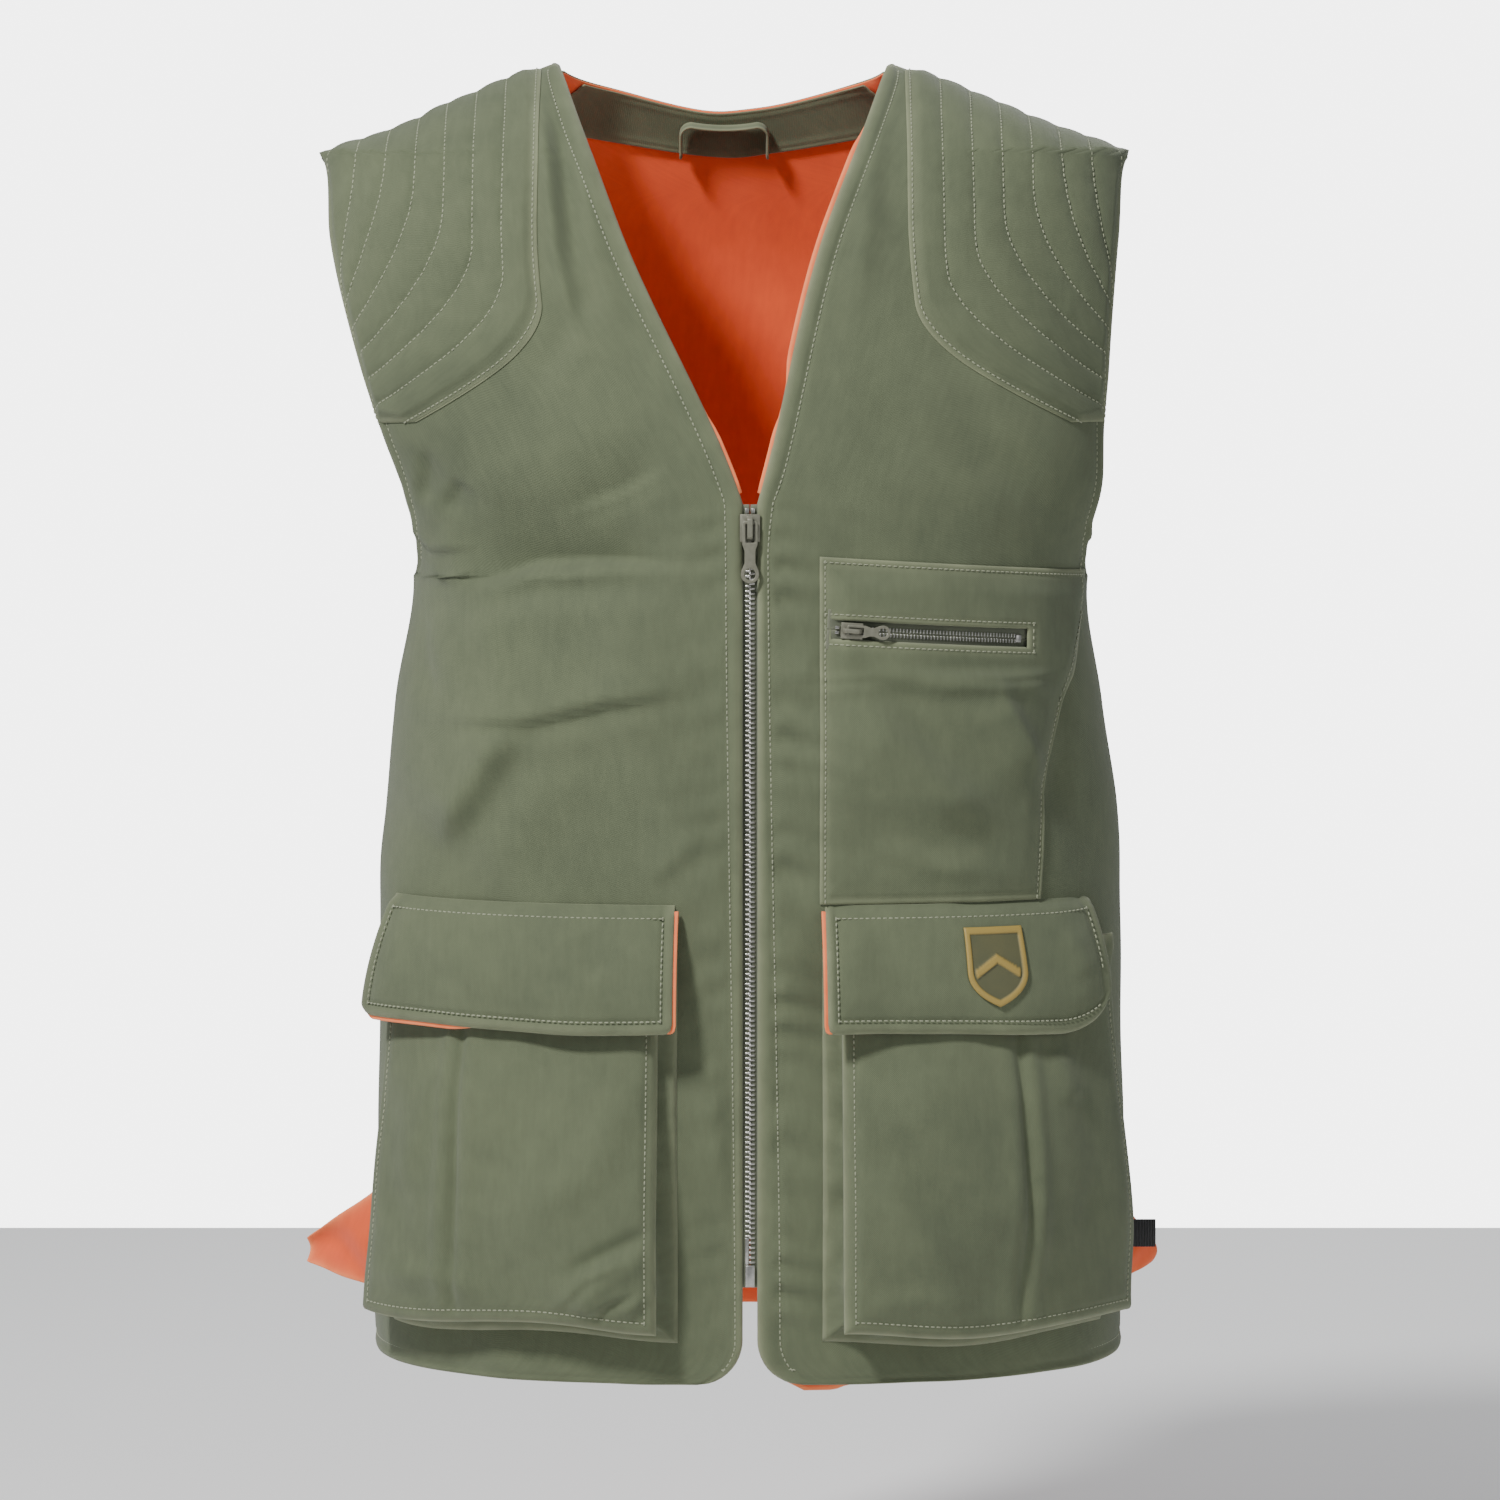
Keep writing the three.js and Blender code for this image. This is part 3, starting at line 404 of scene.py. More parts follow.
weave, source = node_group(
    "twill_weave", [("Vector", "NodeSocketVector", None), ("Rib pitch", "NodeSocketFloat", 0.0011)],
    ["Height", "Tone"])
across, down, _ = add_node(weave, "ShaderNodeSeparateXYZ", {0: source["Vector"]})
slub = noise(weave, source["Vector"], 260, 3, (1, 0.25, 1))
wander = math_node(weave, "MULTIPLY", slub, 0.0012)
diagonal = math_node(weave, "ADD", math_node(weave, "ADD", across, down), wander)
rib = math_node(weave, "PINGPONG", math_node(weave, "DIVIDE", diagonal, source["Rib pitch"]), 0.5)
pick_pitch = math_node(weave, "MULTIPLY", source["Rib pitch"], 0.6)
other_way = math_node(weave, "SUBTRACT", across, down)
pick = math_node(weave, "PINGPONG", math_node(weave, "DIVIDE", other_way, pick_pitch), 0.5)
ribbed = shares_of(weave, rib, 1.3, pick, 0.5)
add_node(weave, "NodeGroupOutput", {
    "Height": math_node(weave, "ADD", ribbed, math_node(weave, "MULTIPLY", slub, 0.5)),
    "Tone": shares_of(weave, ribbed, 0.5, slub, 0.5)})

wear, source = node_group(
    "cloth_wear", [("Vector", "NodeSocketVector", None), ("Edge", "NodeSocketFloat", 0.0)],
    ["Patchiness", "Fading"])
broad = noise(wear, source["Vector"], 9, 3)
fine = noise(wear, source["Vector"], 70, 4)
add_node(wear, "NodeGroupOutput", {
    "Patchiness": shares_of(wear, broad, 0.65, fine, 0.35),
    "Fading": math_node(wear, "MULTIPLY", source["Edge"], math_node(wear, "ADD", fine, 0.35))})


def mixed(tree, factor, first, second):
    colors = {"Factor": factor, "A": first, "B": second}
    return add_node(tree, "ShaderNodeMix", colors, data_type="RGBA")["Result"]


def set_roughness(tree, shader, uneven, lowest, highest):
    rough = add_node(tree, "ShaderNodeMapRange",
                     {"Value": uneven, "To Min": lowest, "To Max": highest})
    tree.links.new(rough["Result"], shader.inputs["Roughness"])


def set_relief(tree, shader, height, strength, distance):
    bump = add_node(tree, "ShaderNodeBump",
                    {"Height": height, "Strength": strength, "Distance": distance})
    tree.links.new(bump["Normal"], shader.inputs["Normal"])


def cloth_material(name, dark, light, faded, pitch=0.0011, bump=0.25, roughness=0.9, sheen=0.25,
                   own_pattern=True):
    """Woven cloth: dark and light threads, paler where it is worn."""
    material, tree, shader = new_material(name)
    shader.inputs["Sheen Weight"].default_value = sheen
    shader.inputs["Sheen Roughness"].default_value = 0.6
    pattern = place = add_node(tree, "ShaderNodeTexCoord", {})["Object"]
    if own_pattern:
        pattern = add_node(tree, "ShaderNodeUVMap", {}, uv_map="cloth")["UV"]
    edge = add_node(tree, "ShaderNodeAttribute", {}, attribute_name="edge")["Fac"]
    threads = add_node(tree, "ShaderNodeGroup", {"Vector": pattern, "Rib pitch": pitch},
                       node_tree=weave)
    ageing = add_node(tree, "ShaderNodeGroup", {"Vector": place, "Edge": edge}, node_tree=wear)
    shade = shares_of(tree, threads["Tone"], 0.45, ageing["Patchiness"], 0.75)
    ramp = tree.nodes.new("ShaderNodeValToRGB")
    tree.links.new(shade, ramp.inputs["Fac"])
    for stop, position, color in zip(ramp.color_ramp.elements, (0.35, 0.95), (dark, light)):
        stop.position = position
        stop.color = (*color, 1)
    color = mixed(tree, ageing["Fading"], ramp.outputs["Color"], (*faded, 1))
    tree.links.new(color, shader.inputs["Base Color"])
    set_roughness(tree, shader, ageing["Patchiness"], roughness - 0.12, min(roughness + 0.06, 1))
    set_relief(tree, shader, threads["Height"], bump, 0.0006)
    return material


twill = cloth_material("green_twill", (0.067, 0.083, 0.042), (0.140, 0.164, 0.088),
                       (0.215, 0.235, 0.135), sheen=0.10)
thread = cloth_material("green_thread", (0.23, 0.25, 0.155), (0.38, 0.40, 0.27), (0.4, 0.4, 0.3),
                        pitch=0.0006, bump=0.4, own_pattern=False)


def fitted(piece, node, body):
    """The piece stands for a CAD node, which it hides, and rides on a body."""
    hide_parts(node)
    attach(piece, body)


def across_and_down(points):
    """Running lengths along a grid of points: from its first column and from its first row."""
    across = np.linalg.norm(np.diff(points, axis=1), axis=-1)
    down = np.linalg.norm(np.diff(points, axis=0), axis=-1)
    zero_column = np.zeros((points.shape[0], 1))
    zero_row = np.zeros((1, points.shape[1]))
    return (np.concatenate([zero_column, np.cumsum(across, axis=1)], axis=1),
            np.concatenate([zero_row, np.cumsum(down, axis=0)], axis=0))


def edge_gap(points):
    """How far each point of a grid is from the nearest edge of the piece."""
    across, down = across_and_down(points)
    return np.minimum(np.minimum(across, across[:, -1:] - across),
                      np.minimum(down, down[-1:] - down))


def cloth_piece(name, outer, inner, material, gap=None, hole=None, start=0.0):
    """A closed sheet between two grids of points, with a rounded rim and its own flat pattern."""
    rows, columns = outer.shape[:2]
    count = rows * columns
    keep = np.ones((rows - 1, columns - 1), bool) if hole is None else ~hole
    index = np.arange(count).reshape(rows, columns)
    corners = np.stack([index[:-1, :-1], index[1:, :-1], index[1:, 1:], index[:-1, 1:]], axis=-1)
    quads = corners[keep]
    sample = outer[rows // 2, columns // 2] - inner[rows // 2, columns // 2]
    a, b, c = (outer.reshape(-1, 3)[k] for k in corners[(rows - 1) // 2, (columns - 1) // 2][:3])
    if np.dot(np.cross(b - a, c - a), sample) < 0:
        quads = quads[:, ::-1]
    heads, tails = quads, np.roll(quads, -1, axis=1)
    codes = (heads * count + tails).ravel()
    back_codes = (tails * count + heads).ravel()
    border = codes[~np.isin(codes, back_codes)]
    points = np.concatenate([outer.reshape(-1, 3), inner.reshape(-1, 3)])
    faces = [*quads.tolist(), *(quads[:, ::-1] + count).tolist()]
    rim_of = {}
    extra = []
    grid = outer.reshape(-1, 3)
    thick = np.linalg.norm(outer - inner, axis=-1).ravel()
    inside = np.zeros((count, 3))
    weight = np.zeros(count)
    for k in range(4):
        np.add.at(inside, quads[:, k], grid[quads].mean(axis=1))
        np.add.at(weight, quads[:, k], 1)
    for vertex in dict.fromkeys(end for code in border.tolist() for end in divmod(code, count)):
        away = grid[vertex] - inside[vertex] / weight[vertex]
        length = np.linalg.norm(away)
        away = away / length if length > 1e-9 else away
        rim_of[vertex] = 2 * count + len(extra)
        extra.append((points[vertex] + points[vertex + count]) / 2 + away * thick[vertex] * 0.4)
    for code in border.tolist():
        head, tail = divmod(code, count)
        faces.append([tail, head, rim_of[head], rim_of[tail]])
        faces.append([rim_of[tail], rim_of[head], head + count, tail + count])
    points = np.concatenate([points, np.array(extra)])
    across, down = across_and_down(outer)
    flat = np.stack([across + start, -down], axis=-1).reshape(-1, 2)
    flat = np.concatenate([flat, flat, flat[list(rim_of)]])
    gap = edge_gap(outer) if gap is None else gap
    edge = np.exp(-np.clip(gap, 0, 1) / 0.0028).ravel()
    edge = np.concatenate([edge, edge * 0.4, np.ones(len(extra))])
    return mesh_piece(name, points, faces, material, flat, edge)


def mesh_piece(name, points, faces, material, flat=None, edge=None):
    """A piece from points and faces, with its flat pattern and how near each point is to an edge."""
    mesh = bpy.data.meshes.new(name)
    mesh.from_pydata(np.asarray(points).tolist(), [], faces)
    mesh.polygons.foreach_set("use_smooth", [True] * len(mesh.polygons))
    corner = np.empty(len(mesh.loops), dtype=np.int32)
    mesh.loops.foreach_get("vertex_index", corner)
    if flat is not None:
        mesh.uv_layers.new(name="cloth").data.foreach_set("uv", np.asarray(flat)[corner].ravel())
    if edge is not None:
        mesh.attributes.new("edge", "FLOAT", "POINT").data.foreach_set("value", edge)
    if len(np.unique(corner)) < len(mesh.vertices):
        shape = bmesh.new()
        shape.from_mesh(mesh)
        bmesh.ops.delete(shape, geom=[v for v in shape.verts if not v.link_faces], context="VERTS")
        shape.to_mesh(mesh)
        shape.free()
    mesh.materials.append(material)
    return new_object(name, mesh)


def sewn_offset(gap, inset, roll=0.0012):
    """Shape of a turned and topstitched edge: rolled rim, soft welt, dent under the stitches."""
    rim = -roll * (1 - np.clip(gap / 0.003, 0, 1)) ** 2
    dent = -0.0009 * np.exp(-((gap - inset) / 0.0016) ** 2)
    welt = 0.0005 * np.exp(-((gap - inset * 0.5) / (inset * 0.35)) ** 2)
    return rim + dent + welt


# ---- Front and back shells -------------------------------------------------------------------
# Three panels of twill, turned in and topstitched round the V neck, armholes and hem. The fronts
# meet the back at the shoulder and side seams, and end in a straight edge beside the zip.
shell_cloth = 0.0016
stitch_inset = 0.0085
patch_foot = -0.203
body_rows = -np.unique(np.round(np.concatenate([
    np.linspace(0.002, shoulder_drop, 22), np.linspace(shoulder_drop, v_drop, 66),
    np.linspace(v_drop, underarm_drop, 18), np.linspace(underarm_drop, 0.700, 130),
    body_length - np.array([0.028, 0.025, 0.022, 0.019, 0.0155, 0.012, 0.009, 0.0063, 0.004, 0.002,
                            0.0008, 0.0])]), 6))
fine_edge = np.array([0.0, 0.006, 0.013, 0.021])
panel_columns = np.concatenate([fine_edge, np.linspace(0.03, 0.97, 92), 1 - fine_edge[::-1]])


def front_grid(sign, opening):
    z = body_rows[:, None] + 0 * panel_columns[None, :]
    start = angle_at(opening(body_rows), body_rows)[:, None]
    end = panel_end(body_rows)[:, None]
    return sign * (start + (end - start) * panel_columns[None, :]), z


def zip_inset(sign, z):
    """Distance of the topstitching from the front edge; it wanders a little beside the zip."""
    down = smooth(-v_drop + 0.01, -body_length, z)
    beside = np.where(sign < 0, 0.0088 - 0.0052 * down, 0.0052 + 0.0068 * down)
    return 0.0095 + (beside - 0.0095) * smooth(-v_drop + 0.02, -v_drop - 0.03, z)


def turned_edges(across_edge, side_gap, z):
    """An edge across, and a side edge: topstitched at the armhole, and below it a plain seam."""
    armhole = smooth(-shoulder_drop + 0.004, -shoulder_drop - 0.006, z) * smooth(
        -underarm_drop - 0.004, -underarm_drop + 0.006, z)
    return (across_edge + sewn_offset(side_gap, stitch_inset) * armhole
            - 0.0012 * (1 - armhole) * np.exp(-(side_gap / 0.0025) ** 2))


def front_relief(sign, z, points):
    across, down = across_and_down(points)
    hem = down[-1:] - down
    edges = np.where(across < hem, sewn_offset(across, zip_inset(sign, z)),
                     sewn_offset(hem, stitch_inset))
    return turned_edges(edges, across[:, -1:] - across, z)


for side, sign in (("right", -1), ("left", 1)):
    angle, z = front_grid(sign, front_opening)
    relief = front_relief(sign, z, on_body(angle, z))
    shell = cloth_piece(f"front_shell_{side}_cloth", cloth(angle, z, relief),
                        cloth(angle, z, relief - shell_cloth), twill)
    fitted(shell, f"front_shell_{side}", "vest")

back_columns = np.concatenate([panel_columns[:-1] / 2, 0.5 + panel_columns / 2])


def neck_line(turn):
    """The height of the back's upper edge, scooped between the shoulders."""
    return np.minimum(-0.022 * np.cos(turn) ** 2, -0.002)


def back_place(turn, level):
    """The angle and height of a place on the back, for a level on the fronts."""
    neck = neck_line(turn)
    return math.pi + turn, neck + (-body_length - neck) * ((level + 0.002) / (-body_length + 0.002))


def back_grid():
    turn = (back_columns[None, :] * 2 - 1) * panel_end(body_rows)[:, None]
    return back_place(turn, body_rows[:, None] + 0 * back_columns[None, :])


angle, z = back_grid()
points = on_body(angle, z)
across, down = across_and_down(points)
relief = turned_edges(sewn_offset(np.minimum(down, down[-1:] - down), stitch_inset),
                      np.minimum(across, across[:, -1:] - across), z)
back = cloth_piece("back_shell_cloth", cloth(angle, z, relief), cloth(angle, z, relief - shell_cloth),
                   twill)
fitted(back, "back_shell", "vest")


# ---- Lining ----------------------------------------------------------------------------------
# Blaze orange cloth with a finer weave, sewn behind the shell. It rolls out past the green edge
# along the left side of the V neck, at the foot of the V and at the left corner of the hem.
blaze = cloth_material("blaze_lining", (0.66, 0.070, 0.010), (0.98, 0.135, 0.022),
                       (1.0, 0.27, 0.09), pitch=0.0007, bump=0.14, roughness=0.78, sheen=0.12)
lining_front = -0.0024
lining_cloth = 0.0012
lining_tape_clear = 0.0158


def lining_opening(sign):
    def opening(z):
        rolled = 0.0018 * smooth(-0.196, -0.210, z)
        if sign > 0:
            rolled = rolled + 0.0026 * smooth(-0.185, -0.165, z) * smooth(-0.036, -0.050, z)
        follow = front_opening(z) - rolled
        hidden = np.maximum(front_opening(z), lining_tape_clear)
        return follow + (hidden - follow) * smooth(-0.2405, -0.2475, z)
    return opening


corner_roll = 0.0030
for side, sign in (("right", -1), ("left", 1)):
    angle, z = front_grid(sign, lining_opening(sign))
    angle, z = angle[::2, ::2], z[::2, ::2]
    x = on_body(angle, z)[..., 0]
    if sign > 0:
        at_corner = smooth(0.022, 0.030, x) * smooth(0.056, 0.044, x)
        z = z - corner_roll * smooth(-0.722, -body_length, z) * at_corner
    forward = 0.0006 * np.exp(-across_and_down(on_body(angle, z))[0] / 0.004)
    lining = cloth_piece(f"front_lining_{side}_cloth", cloth(angle, z, lining_front + forward),
                         cloth(angle, z, lining_front + forward - lining_cloth), blaze)
    fitted(lining, f"front_lining_{side}", "vest")

angle, z = back_grid()
angle, z = angle[::2, ::2], z[::2, ::2]
lining = cloth_piece("back_lining_cloth", cloth(angle, z, lining_front),
                     cloth(angle, z, lining_front - lining_cloth), blaze)
fitted(lining, "back_lining", "vest")


# ---- Neck facing and hanging loop ------------------------------------------------------------
# A strip of the green twill covers the join inside the back neck. A folded tape of the same
# cloth, sewn down at both ends, makes the loop that the vest hangs by.
facing_front = lining_front - lining_cloth - 0.0005
facing_depth = 0.025
across = np.linspace(-1, 1, 161)[None, :]
level = -0.002 - np.linspace(0, facing_depth, 26)[:, None]
turn = across * math.pi / 3 + 0 * level
_, z = back_place(turn, level)
relief = sewn_offset(np.minimum(level[0] - level, level - level[-1]) + 0 * turn, 0.003) * -0.5
facing = cloth_piece("neck_facing_cloth", cloth(math.pi + turn, z, facing_front - relief),
                     cloth(math.pi + turn, z, facing_front - relief - lining_cloth), twill)
fitted(facing, "neck_facing", "vest")

loop_half, loop_height, loop_tape, loop_cloth = 0.026, 0.020, 0.007, 0.0014
loop_bend, loop_sag = 0.007, 0.0018
corner = np.linspace(0, math.pi / 2, 9)
top_bar = np.linspace(-1, 1, 25)[1:-1]
leg = np.stack([np.full(6, -loop_half), np.linspace(-0.010, 0.003, 6)], axis=1)
bend = np.stack([-loop_half + loop_bend * (1 - np.cos(corner)), 0.003 + loop_bend * np.sin(corner)],
                axis=1)[1:]
half_loop = np.concatenate([leg, bend])
path = np.concatenate([
    half_loop,
    np.stack([top_bar * (loop_half - loop_bend), 0.010 - loop_sag * (1 - top_bar ** 2)], axis=1),
    half_loop[::-1] * (-1, 1)])
along_path = np.gradient(path, axis=0)
along_path /= np.linalg.norm(along_path, axis=1, keepdims=True)
side_of_path = np.stack([along_path[:, 1], -along_path[:, 0]], axis=1)
loop_z = -0.022 - loop_height / 2 - 0.003
tilt = outwards(math.pi, loop_z)
tilt = math.atan2(tilt[2], tilt[1])
origin = cloth(math.pi, loop_z, facing_front - lining_cloth - 0.00095)


def loop_points(shift):
    """The tape's two faces: across its width, along its bent path."""
    line = path + side_of_path * shift
    width = np.linspace(0, -loop_tape, 7)[:, None]
    bow = 0.0004 * np.sin(math.pi * width / -loop_tape)
    x = line[None, :, 0] + 0 * width + side_of_path[None, :, 0] * bow
    up = line[None, :, 1] + 0 * width + side_of_path[None, :, 1] * bow
    y = width + 0 * up
    return np.stack([origin[0] + x, origin[1] + y * math.cos(tilt) - up * math.sin(tilt),
                     origin[2] + y * math.sin(tilt) + up * math.cos(tilt)], axis=-1)


loop = cloth_piece("hanging_loop_tape", loop_points(0.0), loop_points(loop_cloth), twill)
fitted(loop, "hanging_loop", "vest")


# ---- Quilted shoulder patches ----------------------------------------------------------------
# Padded recoil patches of the twill, sewn round their edges and quilted in rows. The rows run
# down over the shoulder beside the inner edge, and curve out with it to the armhole.
quilt_pitch = 0.0165
patch_inset = 0.102
patch_straight = 0.138
patch_end = 0.212
patch_hem = 0.003
patch_puff = 0.0019


def patch_edge(z):
    turn = np.clip((-z - patch_straight) / (patch_end - patch_straight), 0, 1)
    return patch_inset + (half_width(z) * 0.91 - patch_inset) * turn ** 1.9


def patch_grid(sign):
    z = np.linspace(-0.006, patch_foot, 170)[:, None]
    end = panel_end(z) - 0.0025 / half_width(z)
    start = np.minimum(angle_at(patch_edge(z), z), end - 0.03)
    return sign * (start + (end - start) * np.linspace(0, 1, 130)[None, :]), z + np.zeros((1, 130))


def patch_loft(angle, z):
    """Padding height, and the distance from the patch's inner edge."""
    points = on_body(angle, z)
    x = np.abs(points[..., 0])
    gap = np.zeros(z.shape)
    for step in np.arange(0.001, 0.126, 0.001):
        turn = np.clip((-z - patch_straight + 0.95 * step)
                       / (patch_end - patch_straight + 0.12 * step), 0, 1)
        edge = patch_inset + step + np.maximum(half_width(z) * 0.91 - patch_inset - step, 0) * turn ** 1.9
        nearer = np.clip((x - edge) / 0.001 + 1, 0, 1)
        gap = np.where(nearer > 0, step - 0.001 + 0.001 * nearer, gap)
    across, down = across_and_down(points)
    rim = np.minimum(np.minimum(gap, across[:, -1:] - across),
                     np.minimum(down + 0.002, down[-1:] - down))
    phase = np.maximum(gap - patch_hem, 0) / quilt_pitch
    row = np.floor(phase)
    swell = np.abs(np.sin(math.pi * phase)) ** 0.45
    uneven = 0.86 + 0.14 * np.sin(row * 2.4 + 33 * z) + 0.06 * np.sin(row * 5.1 - 95 * z)
    pucker = 0.00022 * np.sin(420 * z + row * 1.9 + 2 * np.sin(90 * z)) * np.exp(
        -(np.abs(phase - np.round(phase)) * quilt_pitch / 0.0035) ** 2)
    inside = smooth(0.002, 0.008, rim)
    loft = 0.0010 + inside * (0.0006 + patch_puff * swell * uneven + pucker)
    return loft - 0.0006 * (1 - np.clip(rim / 0.002, 0, 1)) ** 2, gap


quilt_lines = []
for side, sign in (("right", -1), ("left", 1)):
    angle, z = patch_grid(sign)
    loft, gap = patch_loft(angle, z)
    patch = cloth_piece(f"shoulder_patch_{side}_pad", cloth(angle, z, loft + 0.0002),
                        cloth(angle, z, 0.0002 + 0 * loft), twill, start=0.4)
    fitted(patch, f"shoulder_patch_{side}", "vest")
    for line in range(9):
        wanted = patch_hem * 0.9 + line * quilt_pitch if line else patch_hem * 0.8
        points = []
        for i in range(len(z)):
            if gap[i, 0] < wanted < gap[i, -1] - 0.002:
                here = np.interp(wanted, gap[i], angle[i] * sign) * sign
                height = np.interp(wanted, gap[i], loft[i])
                points.append(cloth(here, z[i, 0], height + 0.0003))
        if len(points) > 8:
            quilt_lines.append(np.array(points))


# ---- Main zip --------------------------------------------------------------------------------
# A separating metal zip: a ribbed tape sewn behind each front edge, teeth clamped on its inner
# side, stops at the top, a pin and box at the bottom. Teeth are pressed nickel silver.
def metal_material(name, color, dull, roughness):
    """Plated metal with small scratches, and grime where it is rarely touched."""
    material, tree, shader = new_material(name)
    shader.inputs["Metallic"].default_value = 1.0
    place = add_node(tree, "ShaderNodeTexCoord", {})["Object"]
    grime = noise(tree, place, 420, 3)
    scratch = noise(tree, place, 900, 2, (1, 1, 0.08))
    tree.links.new(mixed(tree, grime, (*color, 1), (*dull, 1)), shader.inputs["Base Color"])
    set_roughness(tree, shader, scratch, roughness - 0.08, roughness + 0.22)
    set_relief(tree, shader, scratch, 0.12, 0.0002)
    return material


zip_metal = metal_material("zip_metal", (0.66, 0.65, 0.61), (0.26, 0.26, 0.235), 0.30)
tape_cloth = cloth_material("zip_tape", (0.045, 0.056, 0.032), (0.105, 0.120, 0.070),
                            (0.16, 0.17, 0.11), pitch=0.0009, bump=0.5)
laid_along = bpy.data.node_groups.new("laid_along_a_line", "GeometryNodeTree")
for label, kind in (("Geometry", "NodeSocketGeometry"), ("Shape", "NodeSocketObject"),
                    ("Pitch", "NodeSocketFloat"), ("Finish", "NodeSocketMaterial")):
    laid_along.interface.new_socket(label, in_out="INPUT", socket_type=kind)
laid_along.interface.new_socket("Geometry", in_out="OUTPUT", socket_type="NodeSocketGeometry")
entry = laid_along.nodes.new("NodeGroupInput").outputs
curve = add_node(laid_along, "GeometryNodeMeshToCurve", {"Mesh": entry["Geometry"]})["Curve"]
spots = add_node(laid_along, "GeometryNodeResampleCurve",
                 {"Curve": curve, "Length": entry["Pitch"]}, mode="LENGTH")["Curve"]
tangent = add_node(laid_along, "GeometryNodeInputTangent", {})["Tangent"]
facing_along = add_node(laid_along, "FunctionNodeAlignRotationToVector", {"Vector": tangent}, axis="X")
shape = add_node(laid_along, "GeometryNodeObjectInfo", {"Object": entry["Shape"]})["Geometry"]
copies = add_node(laid_along, "GeometryNodeInstanceOnPoints",
                  {"Points": spots, "Instance": shape, "Rotation": facing_along["Rotation"]})
real = add_node(laid_along, "GeometryNodeRealizeInstances", {"Geometry": copies["Instances"]})
add_node(laid_along, "NodeGroupOutput", {"Geometry": add_node(
    laid_along, "GeometryNodeSetMaterial",
    {"Geometry": real["Geometry"], "Material": entry["Finish"]})["Geometry"]})
inputs = {item.name: item.identifier for item in laid_along.interface.items_tree
          if item.in_out == "INPUT"}


def run_of(name, lines, shape, pitch, material, place=None):
    """Copies of a small shape laid at an even pitch along lines, as one plain mesh."""
    points, edges = [], []
    for line in lines:
        first = len(points)
        points += [tuple(map(float, p)) for p in line]
        edges += [(i, i + 1) for i in range(first, len(points) - 1)]
    mesh = bpy.data.meshes.new(name + "_line")
    mesh.from_pydata(points, edges, [])
    carrier = new_object(name + "_line", mesh)
    modifier = carrier.modifiers.new("laid", "NODES")
    modifier.node_group = laid_along
    modifier[inputs["Shape"]] = shape
    modifier[inputs["Pitch"]] = pitch
    modifier[inputs["Finish"]] = material
    graph = bpy.context.evaluated_depsgraph_get()
    solid = bpy.data.meshes.new_from_object(carrier.evaluated_get(graph), depsgraph=graph)
    bpy.data.objects.remove(carrier)
    if place is not None:
        spots = np.empty(len(solid.vertices) * 3)
        solid.vertices.foreach_get("co", spots)
        solid.vertices.foreach_set("co", place(spots.reshape(-1, 3)).ravel())
    solid.update()
    return new_object(name, solid)


def face_outwards(mesh):
    shape = bmesh.new()
    shape.from_mesh(mesh)
    bmesh.ops.recalc_face_normals(shape, faces=shape.faces)
    shape.to_mesh(mesh)
    shape.free()


def small_shape(name, rings):
    """A closed small body from rings of points, capped at both ends."""
    n = len(rings[0])
    points = np.concatenate([np.asarray(ring, dtype=float) for ring in rings])
    faces = [[r * n + i, r * n + (i + 1) % n, (r + 1) * n + (i + 1) % n, (r + 1) * n + i]
             for r in range(len(rings) - 1) for i in range(n)]
    faces += [list(range(n))[::-1], [(len(rings) - 1) * n + i for i in range(n)]]
    mesh = bpy.data.meshes.new(name)
    mesh.from_pydata(points.tolist(), [], faces)
    face_outwards(mesh)
    mesh.polygons.foreach_set("use_smooth", [True] * len(mesh.polygons))
    return new_object(name, mesh)


def tooth_shape(name, inner, head, waist, outer, along, thick):
    """One tooth, long side across the chain: a rounded head, a waist, and a clamping foot."""
    profile = [(inner, 0.62), (inner + 0.12 * (outer - inner), 1.0), (head, 1.0), (waist, 0.72),
               (outer - 0.1 * (outer - inner), 0.92), (outer, 0.6)]
    rings = []
    for across, share in profile:
        a, t = along / 2 * share, thick / 2 * (0.6 + 0.4 * share)
        rings.append([(a, -t * 0.55, across), (a * 0.6, -t, across), (-a * 0.6, -t, across),
                      (-a, -t * 0.55, across), (-a, t * 0.55, across), (-a * 0.6, t, across),
                      (a * 0.6, t, across), (a, t * 0.55, across)])
    return small_shape(name, rings)


zip_top = -0.253
zip_top_y = -0.12614
zip_slope = math.atan(0.011 / (body_length - v_drop))
chain_depth = 0.0029
teeth_pitch = 0.0027


def down_the_chain(points):
    """Chain places (down, in front or behind, across) to places on the vest."""
    down, behind, across = points[:, 0], points[:, 1] + chain_depth, points[:, 2]
    y = zip_top_y + behind * math.cos(zip_slope) - down * math.sin(zip_slope)
    z = zip_top - behind * math.sin(zip_slope) - down * math.cos(zip_slope)
    return np.stack([across, y, z], axis=1)


for side, sign in (("right", -1), ("left", 1)):
    down, across = np.meshgrid(np.linspace(-0.005, 0.423, 200), np.linspace(0.0005, 0.0155, 16),
                               indexing="ij")
    flat = np.stack([down, 0 * down, sign * across], axis=-1)
    faces_of_tape = [down_the_chain((flat + (0, shift, 0)).reshape(-1, 3)).reshape(flat.shape)
                     for shift in (-0.0005, 0.0005)]
    tape = cloth_piece(f"zip_tape_{side}_strip", *faces_of_tape, tape_cloth, start=0.2)
    fitted(tape, f"zip_tape_{side}", "vest")

